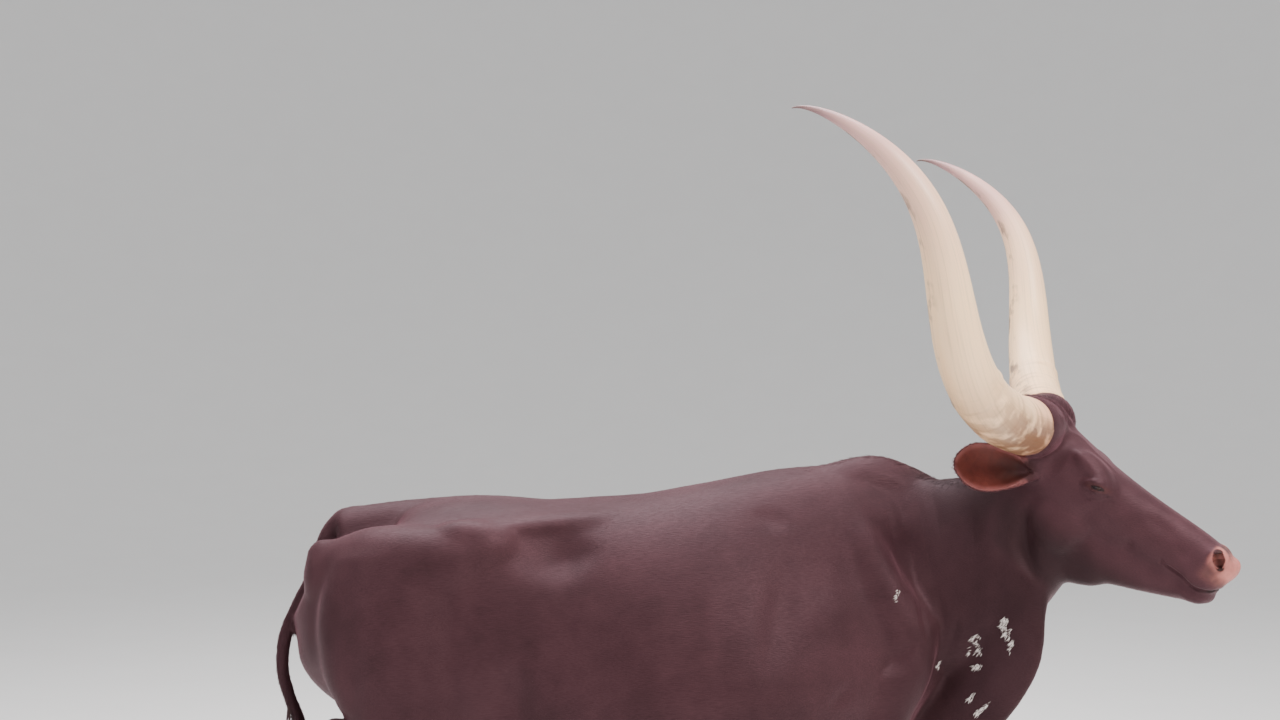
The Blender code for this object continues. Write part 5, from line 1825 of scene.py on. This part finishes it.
class Graph:
    """A material's nodes, and short ways to add to them."""

    def __init__(self, name: str) -> None:
        """Makes the material with one Principled shader.

        Args:
            name: The material's name.
        """
        self.material = bpy.data.materials.new(name)
        self.material.use_nodes = True
        self.tree = self.material.node_tree
        self.shader = self.tree.nodes["Principled BSDF"]

    def node(self, kind: str, **settings: object) -> Node:
        """Adds a node.

        Args:
            kind: The node's type.
            settings: Its own settings.

        Returns:
            The node.
        """
        made = self.tree.nodes.new(kind)
        for key, value in settings.items():
            setattr(made, key, value)
        return made

    def link(self, start: Socket, end: Socket) -> None:
        """Joins two sockets."""
        self.tree.links.new(start, end)

    def attribute(self, name: str) -> Node:
        """Reads a vertex attribute."""
        return self.node("ShaderNodeAttribute", attribute_name=name)

    def feed(self, name: str, value: Socket) -> None:
        """Joins a value to one of the shader's own sockets."""
        self.link(value, self.shader.inputs[name])

    def set(self, **values: object) -> None:
        """Sets constants on the shader's own sockets, a low line in a name standing for a space."""
        for name, value in values.items():
            self.shader.inputs[name.replace("_", " ")].default_value = value

    def noise(self, scale: float, detail: float = 3.0, stretch: Sequence[float] = (1, 1, 1),
              turn: Sequence[float] = (0, 0, 0), place: Socket | None = None) -> Socket:
        """A noise on the object's own coordinates, or on a map.

        Args:
            scale: How fine it is.
            detail: Its octaves.
            stretch: How much finer it is along each axis.
            turn: Degrees by which the pattern is turned.
            place: The socket of the map.

        Returns:
            The socket of its value.
        """
        mapping = self.node("ShaderNodeMapping")
        mapping.inputs["Scale"].default_value = stretch
        mapping.inputs["Rotation"].default_value = [math.radians(angle) for angle in turn]
        noise = self.node("ShaderNodeTexNoise")
        noise.inputs["Scale"].default_value = scale
        noise.inputs["Detail"].default_value = detail
        self.link(place or self.node("ShaderNodeTexCoord").outputs["Object"], mapping.inputs["Vector"])
        self.link(mapping.outputs["Vector"], noise.inputs["Vector"])
        return noise.outputs["Fac"]

    def ranged(self, value: Socket, low: float, high: float, to_low: float = 0.0,
               to_high: float = 1.0) -> Socket:
        """A value carried from one range to another.

        Args:
            value: The value.
            low: The lower end of its own range.
            high: The upper end.
            to_low: What the lower end becomes.
            to_high: What the upper end becomes.

        Returns:
            The socket of the result.
        """
        node = self.node("ShaderNodeMapRange")
        for name, number in (("From Min", low), ("From Max", high), ("To Min", to_low), ("To Max", to_high)):
            node.inputs[name].default_value = number
        self.link(value, node.inputs["Value"])
        return node.outputs["Result"]

    def spread(self, noise: Socket, to_low: float = 0.0, to_high: float = 1.0) -> Socket:
        """A noise carried from the range that it mostly keeps to, to another."""
        return self.ranged(noise, 0.3, 0.7, to_low, to_high)

    def maths(self, operation: str, first: Socket, second: object) -> Socket:
        """Two values put together.

        Args:
            operation: How, such as ADD.
            first: The first value.
            second: The second, which may be a plain number.

        Returns:
            The socket of the result.
        """
        node = self.node("ShaderNodeMath", operation=operation)
        self.link(first, node.inputs[0])
        if isinstance(second, float):
            node.inputs[1].default_value = second
        else:
            self.link(second, node.inputs[1])
        return node.outputs["Value"]

    def mixed(self, share: Socket, first: object, second: object) -> Socket:
        """Two colours mixed.

        Args:
            share: How much of the second there is.
            first: A socket or three numbers.
            second: The same.

        Returns:
            The socket of the colour.
        """
        node = self.node("ShaderNodeMix", data_type="RGBA", blend_type="MIX")
        self.link(share, node.inputs[0])
        for socket, value in ((node.inputs[6], first), (node.inputs[7], second)):
            if isinstance(value, tuple):
                socket.default_value = (*value, 1.0)
            else:
                self.link(value, socket)
        return node.outputs[2]

    def blended(self, first: Socket, second: Socket, name: str) -> Socket:
        """Two values mixed by a vertex attribute.

        Args:
            first: The value where the attribute is nought.
            second: The value where it is one.
            name: The attribute's name.

        Returns:
            The socket of the result.
        """
        node = self.node("ShaderNodeMix", data_type="FLOAT")
        self.link(self.attribute(name).outputs["Fac"], node.inputs[0])
        self.link(first, node.inputs[2])
        self.link(second, node.inputs[3])
        return node.outputs[0]

    def ramp(self, value: Socket, stops: Sequence[tuple]) -> Socket:
        """A row of colours along a value.

        Args:
            value: The value.
            stops: Where each colour stands, from nought to one, and its three numbers.

        Returns:
            The socket of the colour.
        """
        node = self.node("ShaderNodeValToRGB")
        elements = node.color_ramp.elements
        for index, (place, colour) in enumerate(stops):
            stop = elements[index] if index < 2 else elements.new(place)
            stop.position = place
            stop.color = (*colour, 1.0)
        self.link(value, node.inputs["Fac"])
        return node.outputs["Color"]

    def toned(self, shade: Socket) -> None:
        """Gives the shader the marked colour, made lighter or darker.

        Args:
            shade: How much lighter, one leaving it as it is.
        """
        scaled = self.node("ShaderNodeVectorMath", operation="SCALE")
        self.link(self.attribute("tone").outputs["Color"], scaled.inputs[0])
        self.link(shade, scaled.inputs["Scale"])
        self.feed("Base Color", scaled.outputs["Vector"])

    def bump(self, height: Socket, strength: float, distance: float,
             under: Socket | None = None) -> Socket:
        """A relief on the shader's normal.

        Args:
            height: The relief.
            strength: How strong it is.
            distance: How deep it is.
            under: The relief that it lies on.

        Returns:
            The socket of the normal.
        """
        node = self.node("ShaderNodeBump")
        node.inputs["Strength"].default_value = strength
        node.inputs["Distance"].default_value = distance
        self.link(height, node.inputs["Height"])
        if under is not None:
            self.link(under, node.inputs["Normal"])
        return node.outputs["Normal"]


HAIR_GLOSS = {"Sheen_Roughness": 0.4, "Sheen_Tint": (0.95, 0.42, 0.52, 1.0),
              "Specular_IOR_Level": 0.18, "Specular_Tint": (1.0, 0.62, 0.72, 1.0)}


@dataclass(frozen=True)
class HairFinish:
    """Short glossy hair: the marked colour, broken by streaks that follow the lie of the coat."""

    name: str
    relief: float = 0.35
    roughness: float = 0.5
    sheen: float = 0.14

    def make(self) -> Material:
        """Makes the material.

        Returns:
            The material.
        """
        graph = Graph(self.name)
        trunk = graph.noise(1.0, 3.0, (60, 520, 520), (0, -20, 0))
        legs = graph.noise(1.0, 3.0, (520, 520, 60))
        head = graph.noise(1.0, 3.0, (90, 620, 620), (0, -38, -25))
        streaks = graph.blended(graph.blended(trunk, legs, "on_legs"), head, "on_head")
        broad = graph.noise(9.0, 4.0)
        graph.toned(graph.maths("ADD", graph.spread(streaks, -0.14, 0.14), graph.spread(broad, 0.92, 1.08)))
        graph.feed("Roughness", graph.spread(streaks, self.roughness + 0.08, self.roughness - 0.08))
        graph.feed("Normal", graph.bump(streaks, self.relief, 0.0018))
        graph.set(Sheen_Weight=self.sheen, **HAIR_GLOSS)
        return graph.material


@dataclass(frozen=True)
class TuftFinish:
    """The hair of the tufts, in the marked colour."""

    name: str
    roughness: float = 0.52
    sheen: float = 0.12

    def make(self) -> Material:
        """Makes the material.

        Returns:
            The material.
        """
        graph = Graph(self.name)
        strands = graph.noise(700.0, 2.0)
        graph.toned(graph.spread(strands, 0.82, 1.2))
        graph.feed("Roughness", graph.spread(strands, self.roughness + 0.07, self.roughness - 0.07))
        graph.set(Sheen_Weight=self.sheen, **HAIR_GLOSS)
        return graph.material


@dataclass(frozen=True)
class BareFinish:
    """Bare skin, moist and finely pebbled."""

    name: str
    roughness: float = 0.5

    def make(self) -> Material:
        """Makes the material.

        Returns:
            The material.
        """
        graph = Graph(self.name)
        pebbles = graph.node("ShaderNodeTexVoronoi")
        pebbles.inputs["Scale"].default_value = 420.0
        graph.link(graph.node("ShaderNodeTexCoord").outputs["Object"], pebbles.inputs["Vector"])
        blotches = graph.noise(55.0, 4.0)
        graph.toned(graph.spread(blotches, 0.82, 1.15))
        graph.feed("Roughness", graph.spread(blotches, self.roughness - 0.1, self.roughness + 0.1))
        creases = graph.bump(blotches, 0.25, 0.002)
        graph.feed("Normal", graph.bump(pebbles.outputs["Distance"], 0.35, 0.0006, creases))
        graph.set(Subsurface_Weight=0.08, Subsurface_Scale=0.004, Specular_IOR_Level=0.2,
                  Specular_Tint=(1.0, 0.78, 0.78, 1.0))
        return graph.material


@dataclass(frozen=True)
class HornFinish:
    """Horn: cream with tan streaks, soiled creases at the root and a dark tip."""

    name: str
    stops: tuple = ((0.0, (0.6, 0.25, 0.15)), (0.1, (0.76, 0.38, 0.23)), (0.18, (0.95, 0.61, 0.35)),
                    (0.55, (1.0, 0.67, 0.385)), (0.74, (0.8, 0.49, 0.36)), (0.86, (0.6, 0.34, 0.31)),
                    (0.95, (0.36, 0.19, 0.2)), (1.0, (0.07, 0.034, 0.04)))
    # how fine round the horn and along it, and the octaves, of its fibres, creases and flakes
    grains: tuple = ((60.0, 5.0, 4.0), (3.0, 75.0, 3.0), (9.0, 16.0, 5.0))

    def make(self) -> Material:
        """Makes the material.

        Returns:
            The material.
        """
        graph = Graph(self.name)
        grown = graph.node("ShaderNodeUVMap", uv_map="grown").outputs["UV"]
        apart = graph.node("ShaderNodeSeparateXYZ")
        graph.link(grown, apart.inputs[0])
        wander = graph.spread(graph.noise(7.0, 4.0), -0.035, 0.035)
        ivory = graph.ramp(graph.maths("ADD", apart.outputs["Y"], wander), self.stops)
        fibres, creases, flakes = (graph.noise(1.0, detail, (around, along, 1.0), place=grown)
                                   for around, along, detail in self.grains)
        near_root = graph.ranged(apart.outputs["Y"], 0.05, 0.42, 1.0, 0.0)
        colour = graph.mixed(graph.ranged(fibres, 0.5, 0.72, 0.0, 0.45), ivory, (0.5, 0.34, 0.21))
        soil = graph.maths("MULTIPLY", graph.ranged(creases, 0.54, 0.66, 0.0, 0.75), near_root)
        colour = graph.mixed(soil, colour, (0.3, 0.15, 0.08))
        # darker brown blotches on the underside near the root
        blotches = graph.ranged(graph.noise(24.0, 5.0), 0.28, 0.52)
        underside_dark = graph.maths("MULTIPLY", blotches, graph.attribute("under").outputs["Fac"])
        colour = graph.mixed(underside_dark, colour, (0.175, 0.078, 0.038))
        flaking = graph.ranged(flakes, 0.52, 0.62, 0.0, 0.85)
        worn = graph.maths("MULTIPLY", flaking, graph.attribute("rear").outputs["Fac"])
        graph.feed("Base Color", graph.mixed(worn, colour, (0.2, 0.13, 0.1)))
        graph.feed("Roughness", graph.spread(fibres, 0.3, 0.48))
        rings = graph.bump(graph.maths("MULTIPLY", creases, near_root), 0.35, 0.003)
        flaked = graph.bump(flakes, 0.2, 0.0012, rings)
        graph.feed("Normal", graph.bump(fibres, 0.18, 0.0008, flaked))
        graph.set(Specular_IOR_Level=0.5, Subsurface_Weight=0.05, Subsurface_Scale=0.01)
        return graph.material


@dataclass(frozen=True)
class EyeFinish:
    """A dark wet eye with a wide pupil."""

    name: str
    stops: tuple = ((0.0, (0.004, 0.003, 0.004)), (0.32, (0.006, 0.004, 0.004)), (0.4, (0.06, 0.026, 0.012)),
                    (0.78, (0.085, 0.038, 0.018)), (0.9, (0.012, 0.007, 0.006)), (1.0, (0.03, 0.02, 0.018)))

    def make(self) -> Material:
        """Makes the material.

        Returns:
            The material.
        """
        graph = Graph(self.name)
        uneven = graph.spread(graph.noise(900.0, 3.0), -0.03, 0.03)
        from_pupil = graph.maths("ADD", graph.attribute("iris").outputs["Fac"], uneven)
        graph.feed("Base Color", graph.ramp(from_pupil, self.stops))
        graph.set(Roughness=0.16, Coat_Weight=0.25, Coat_Roughness=0.12, Specular_IOR_Level=0.4)
        return graph.material


@dataclass(frozen=True)
class HoofFinish:
    """Dark hoof horn with growth rings and dust at the ground."""

    name: str

    def make(self) -> Material:
        """Makes the material.

        Returns:
            The material.
        """
        graph = Graph(self.name)
        rings = graph.noise(1.0, 3.0, (12, 12, 260), (12, 0, 0))
        fibres = graph.noise(1.0, 3.0, (260, 260, 18))
        height = graph.node("ShaderNodeSeparateXYZ")
        graph.link(graph.node("ShaderNodeTexCoord").outputs["Object"], height.inputs[0])
        dust = graph.ranged(height.outputs["Z"], 0.024, 0.002)
        colour = graph.mixed(graph.ranged(rings, 0.35, 0.65), (0.026, 0.02, 0.018), (0.07, 0.052, 0.042))
        colour = graph.mixed(graph.ranged(fibres, 0.5, 0.75, 0.0, 0.5), colour, (0.06, 0.045, 0.038))
        graph.feed("Base Color", graph.mixed(graph.maths("MULTIPLY", dust, 0.4), colour, (0.2, 0.15, 0.11)))
        graph.feed("Roughness", graph.spread(fibres, 0.38, 0.62))
        graph.feed("Normal", graph.bump(fibres, 0.15, 0.0006, graph.bump(rings, 0.35, 0.0012)))
        return graph.material


@dataclass
class Horn:
    """One horn, with its growth rings."""

    side: Side
    samples: int = 190
    bevel: int = 21
    rings: int = 34

    def build(self, material: Material) -> Thing:
        """Makes the horn.

        Args:
            material: What it is dressed in.

        Returns:
            The horn's object.
        """
        line = carried(across(horn_line(self.samples), self.side), HEAD)
        bpy.ops.object.select_all(action="DESELECT")
        bpy.ops.curve.primitive_bezier_curve_add()
        horn = bpy.context.object
        horn.name = f"horn_{self.side.word}_grown"
        curve = horn.data
        curve.splines.clear()
        spline = curve.splines.new("POLY")
        spline.points.add(self.samples - 1)
        places = np.hstack([line, np.ones((self.samples, 1))])
        spline.points.foreach_set("co", places.astype(np.float32).ravel())
        spline.points.foreach_set("radius", horn_radius(np.linspace(0, 1, self.samples)).astype(np.float32))
        curve.dimensions = "3D"
        curve.bevel_depth = 1.0
        curve.bevel_resolution = self.bevel
        curve.use_fill_caps = True
        bpy.ops.object.convert(target="MESH")
        self.shape(horn, line)
        horn.data.shade_smooth()
        return dressed(horn, material)

    def shape(self, horn: Thing, line: Array) -> None:
        """Gives the horn its rings, its map and the share of each point that faces back.

        Args:
            horn: The horn's object.
            line: Its middle line.
        """
        points = points_of(horn)
        along = path_distance(points, line)[1]
        index = np.clip(along * (len(line) - 1), 0, len(line) - 1)
        out = points - rows_at(line, index)
        back = np.array(HEAD.to_3x3() @ Vector((-0.75, 0.0, -0.45)))
        ahead = rows_at(unit(np.gradient(line, axis=0)), index)
        first = unit(back - (ahead @ back)[:, None] * ahead)
        second = np.cross(ahead, first)
        around = np.arctan2((out * second).sum(1), (out * first).sum(1)) / (2 * math.pi)
        rng = np.random.default_rng(5 + self.side.value)
        places = np.cumsum(rng.uniform(0.5, 1.5, self.rings))
        places = 0.03 + 0.42 * places / places[-1]
        strength = rng.uniform(0.2, 1.0, self.rings) * (1 - places / 0.5)
        wavy = along + (0.006 * np.sin(around * 2 * math.pi + 1.0) + 0.003 * np.sin(around * 4 * math.pi))
        relief = sum(tall * np.exp(-((wavy - place) / 0.0042) ** 2) for place, tall in zip(places, strength))
        relief += 2.2 * np.exp(-((wavy - 0.345) / 0.006) ** 2) - 1.2 * np.exp(-((along - 0.334) / 0.006) ** 2)
        swell = 0.01 * np.sin(along * 61 + 2 * around) * step(along, 0.55, 0.2)
        rise = unit(out) * (0.0011 * relief)[:, None] * step(along, 0.0, 0.05)[:, None]
        set_points(horn, points + rise + out * swell[:, None])
        set_attribute(horn, "rear", step(np.cos(2 * math.pi * around), 0.2, 0.9) * step(along, 0.05, 0.12))
        # the share facing down near the root, coloured darker brown there
        under = step(unit(out)[:, 2], 0.45, -0.25) * step(along, 0.06, 0.1) * step(along, 0.44, 0.18) * 0.95
        set_attribute(horn, "under", under)
        mesh = horn.data
        while mesh.uv_layers:
            mesh.uv_layers.remove(mesh.uv_layers[0])
        corners = read(mesh.loops, "vertex_index")
        starts, totals = read(mesh.polygons, "loop_start"), read(mesh.polygons, "loop_total")
        u = around[corners]
        first_u = np.repeat(u[starts], totals)
        u = first_u + (u - first_u + 0.5) % 1.0 - 0.5
        layer = mesh.uv_layers.new(name="grown")
        layer.data.foreach_set("uv", np.stack([u, along[corners]], -1).astype(np.float32).ravel())


@dataclass
class Eye:
    """One eyeball with a low cornea."""

    side: Side
    cornea: float = 0.0012
    # angle from the middle of the cornea to its edge, where the white begins
    cornea_edge: float = 0.62

    def build(self, material: Material) -> Thing:
        """Makes the eyeball.

        Args:
            material: What it is dressed in.

        Returns:
            The eyeball's object.
        """
        place = HEAD @ Vector(across(EYE_AT, self.side))
        bpy.ops.object.select_all(action="DESELECT")
        bpy.ops.mesh.primitive_uv_sphere_add(segments=64, ring_count=32, radius=EYE_RADIUS, location=place)
        eyeball = bpy.context.object
        eyeball.name = f"eyeball_{self.side.word}"
        bpy.ops.object.transform_apply(location=True, rotation=True, scale=True)
        points = points_of(eyeball)
        out, wide = (np.array(HEAD.to_3x3() @ Vector(across(way, self.side)))
                     for way in (unit(EYE_SLIT_AT - EYE_AT), EYE_SLIT_TURN @ np.array((1.0, 0.0, 0.0))))
        from_middle = unit(points - np.array(place))
        angle = np.arccos(np.clip(from_middle @ out, -1, 1))
        set_points(eyeball, points + from_middle * (self.cornea * np.exp(-(angle / 0.55) ** 2))[:, None])
        pupil = np.hypot((from_middle @ wide) / 0.75, (from_middle @ np.cross(out, wide)) / 0.42)
        iris = np.where(angle < self.cornea_edge, pupil * 0.8, 0.9 + (angle - self.cornea_edge) * 2)
        set_attribute(eyeball, "iris", np.clip(iris, 0, 1))
        eyeball.data.shade_smooth()
        return dressed(eyeball, material)


@dataclass
class Claw:
    """One claw of a foot, on its flat sole."""

    name: str
    foot: tuple
    side: Side
    sides: int = 44
    cuts: int = 13

    def build(self, material: Material) -> Thing:
        """Makes the claw.

        Args:
            material: What it is dressed in.

        Returns:
            The claw's object.
        """
        bpy.ops.object.select_all(action="DESELECT")
        bpy.ops.mesh.primitive_cylinder_add(vertices=self.sides, radius=1.0, depth=1.0,
                                            location=(0.0, 0.0, 0.5))
        claw = bpy.context.object
        claw.name = f"{self.name}_worn"
        bpy.ops.object.transform_apply(location=True, rotation=True, scale=True)
        bpy.ops.object.mode_set(mode="EDIT")
        bpy.ops.mesh.select_mode(type="EDGE")
        bpy.ops.mesh.select_all(action="DESELECT")
        bpy.ops.object.mode_set(mode="OBJECT")
        points = points_of(claw)
        for edge in claw.data.edges:
            edge.select = abs(points[edge.vertices[0], 2] - points[edge.vertices[1], 2]) > 0.5
        bpy.ops.object.mode_set(mode="EDIT")
        bpy.ops.mesh.subdivide(number_cuts=self.cuts)
        bpy.ops.object.mode_set(mode="OBJECT")
        self.shape(claw)
        bpy.ops.object.shade_smooth_by_angle(angle=math.radians(50.0))
        return dressed(claw, material)

    def shape(self, claw: Thing) -> None:
        """Gives the claw its toe, heel, slanting top and growth rings.

        Args:
            claw: The claw's object, an upright cylinder of one metre.
        """
        points = points_of(claw)
        share = points[:, 2]
        turn = np.arctan2(points[:, 1], points[:, 0])
        cosine, sine = np.cos(turn), np.sin(turn)
        worn = 1.0 - 0.06 * step(share, 0.1, 0.0)
        toe = HOOF_LENGTH * (0.6 - 0.22 * share ** 0.9) * worn
        heel = HOOF_LENGTH * (0.4 - 0.04 * share) * worn
        half = HOOF_WIDTH * (0.5 - 0.03 * share) * worn
        rings = 0.0005 * np.sin(share * 44.0) * step(share, 0.04, 0.12) * step(share, 1.0, 0.9)
        x = np.where(cosine > 0, toe, heel) * np.sign(cosine) * np.abs(cosine) ** 0.85 + rings * cosine
        y = (half + rings) * sine * (1.0 - 0.22 * cosine)
        spread = math.radians(4.0 * self.side.value)
        x, y = x * math.cos(spread) - y * math.sin(spread), x * math.sin(spread) + y * math.cos(spread)
        y += self.side.value * (HOOF_WIDTH + CLAW_GAP) / 2
        top = HOOF_TOP + math.tan(HOOF_SLOPE) * x - 0.0006
        points = np.stack([x + self.foot[0], y + self.foot[1], share * top], -1)
        set_points(claw, carried(points, TRUNK))


@dataclass
class Dewclaws:
    """The two small claws behind each foot."""

    radii: tuple = (0.011, 0.0125, 0.0075)

    def build(self, material: Material) -> Thing:
        """Makes them all, as one piece.

        Args:
            material: What they are dressed in.

        Returns:
            Their object.
        """
        made = []
        for foot in feet().values():
            for side in (-0.021, 0.021):
                x, y = foot[0] - 0.05, foot[1] + side
                path = ((x + 0.016, y, 0.142), (x - 0.001, y, 0.131), (x - 0.009, y, 0.116))
                rows = [Section(at, radius, radius, radius) for at, radius in zip(path, self.radii)]
                made.append(loft(rows, TUBE_UP, 18, 6, keep_frame=True, dome=0.8))
        claws = Shape.joined(made).placed(TRUNK).as_object("dewclaws")
        claws.data.shade_smooth()
        return dressed(claws, material)


@dataclass
class Studio:
    """The plain pale floor and the soft lights."""

    floor_tone: tuple = (0.86, 0.855, 0.84)
    flat: float = 9.0
    rise: float = 14.0
    # name, place, aim, width, watts and colour
    lamps: tuple = (("key", (2.6, -3.4, 4.4), (0.2, 0.0, 1.0), 2.6, 375.0, (1.0, 0.97, 0.93)),
                    ("overhead", (-0.6, 0.6, 5.2), (0.0, 0.0, 0.9), 4.5, 500.0, (1.0, 0.97, 0.99)),
                    ("fill", (-4.2, -3.8, 2.4), (0.0, 0.0, 0.9), 3.0, 62.0, (0.97, 0.97, 1.0)))

    def build(self) -> None:
        """Makes the floor, the backdrop, the lights and the sky."""
        bpy.ops.object.select_all(action="DESELECT")
        bpy.ops.mesh.primitive_grid_add(x_subdivisions=96, y_subdivisions=96, size=48.0)
        floor = bpy.context.object
        floor.name = "studio_floor"
        points = points_of(floor)
        out = np.clip((np.hypot(points[:, 0], points[:, 1]) - self.flat) / 15.0, 0.0, None)
        points[:, 2] = self.rise * out ** 2.2
        set_points(floor, points)
        floor.data.shade_smooth()
        graph = Graph("studio_paper")
        dimmer = tuple(0.985 * value for value in self.floor_tone)
        graph.feed("Base Color", graph.mixed(graph.spread(graph.noise(3.0, 4.0)), self.floor_tone, dimmer))
        graph.set(Roughness=0.9, Specular_IOR_Level=0.1)
        dressed(floor, graph.material)
        for name, place, aim, size, power, tint in self.lamps:
            turn = (Vector(aim) - Vector(place)).to_track_quat("-Z", "Y").to_euler()
            bpy.ops.object.light_add(type="AREA", radius=1.0, location=place, rotation=turn)
            lamp = bpy.context.object
            lamp.name = name
            lamp.data.shape = "DISK"
            lamp.data.size = size
            lamp.data.energy = power
            lamp.data.color = tint
        world = bpy.data.worlds.new("soft_sky")
        bpy.context.scene.world = world
        world.use_nodes = True
        sky = world.node_tree.nodes["Background"].inputs
        sky["Color"].default_value = (0.97, 0.97, 1.0, 1.0)
        sky["Strength"].default_value = 0.75


@dataclass(frozen=True)
class Finishes:
    """Every material of the cow."""

    hair: Material
    tuft: Material
    bare: Material
    horn: Material
    eye: Material
    hoof: Material

    @staticmethod
    def made() -> "Finishes":
        """Makes them all."""
        return Finishes(HairFinish("short_hair").make(), TuftFinish("tuft_hair").make(),
                        BareFinish("bare_skin").make(), HornFinish("horn").make(),
                        EyeFinish("wet_eye").make(), HoofFinish("hoof_horn").make())


def dress_skin(skin: Thing, markings: Markings, finishes: Finishes) -> None:
    """Gives the skin its attributes and its two materials.

    Args:
        skin: The skin.
        markings: The colours.
        finishes: The materials.
    """
    points = points_of(skin)
    set_attribute(skin, "tone", markings.colour(points))
    set_attribute(skin, "on_head", Places.head(points))
    set_attribute(skin, "on_legs", Places.legs(points))
    bare = markings.bare(points)
    dressed(skin, finishes.hair)
    skin.data.materials.append(finishes.bare)
    corners, starts = read(skin.data.loops, "vertex_index"), read(skin.data.polygons, "loop_start")
    bald = np.add.reduceat(bare[corners], starts) / np.diff(np.append(starts, len(corners))) > 0.5
    skin.data.polygons.foreach_set("material_index", bald.astype(np.int32))
    skin.data.update()
    only(skin)
    bpy.ops.object.mode_set(mode="EDIT")
    bpy.ops.mesh.select_all(action="SELECT")
    skin.data.uv_layers.new(name="OFBake")
    bpy.ops.uv.smart_project(angle_limit=math.radians(66.0), island_margin=0.002)
    bpy.ops.object.mode_set(mode="OBJECT")


FLESH = ("head", "neck", "torso", "udder", "leg_fore_left", "leg_fore_right", "leg_hind_left",
         "leg_hind_right", "ear_left", "ear_right", "tail")


def fitted(piece: Thing, slot: str, *nodes: str) -> None:
    """Fixes a piece to the cow's one body.

    Args:
        piece: The piece.
        slot: Its material slot. It is not used.
        nodes: The nodes of the part that it replaces.
    """
    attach(piece, "root")
    if nodes:
        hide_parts(*nodes)


def main() -> None:
    """Builds the cow and the studio."""
    logging.basicConfig(level=logging.INFO, format="%(message)s")
    camera = PhotoCamera()
    camera.build()
    Studio().build()
    finishes = Finishes.made()
    skin = Skin(camera).build()
    markings = Markings(skin, camera)
    dress_skin(skin, markings, finishes)
    fitted(skin, "hide", *FLESH)
    for side in Side:
        fitted(Horn(side).build(finishes.horn), "horn", f"horn_{side.word}")
        fitted(Eye(side).build(finishes.eye), "eye", f"eye_{side.word}")
        LOG.info("horn and eye %s", side.word)
    coat = Coat(skin, markings)
    for piece in coat.build(finishes.tuft):
        fitted(piece, "hide")
    for piece in coat.fringed(finishes.tuft) + [Lashes(side).build(finishes.tuft) for side in Side]:
        fitted(piece, "long_hair")
    fitted(Switch().build(finishes.tuft), "long_hair", "tail_switch")
    for leg, foot in feet().items():
        for side in Side:
            name = f"{leg}_claw_{side.word}"
            fitted(Claw(name, foot, side).build(finishes.hoof), "hoof", name)
    fitted(Dewclaws().build(finishes.hoof), "hoof")
    LOG.info("switch, claws and dewclaws")


if __name__ == "__main__":
    main()
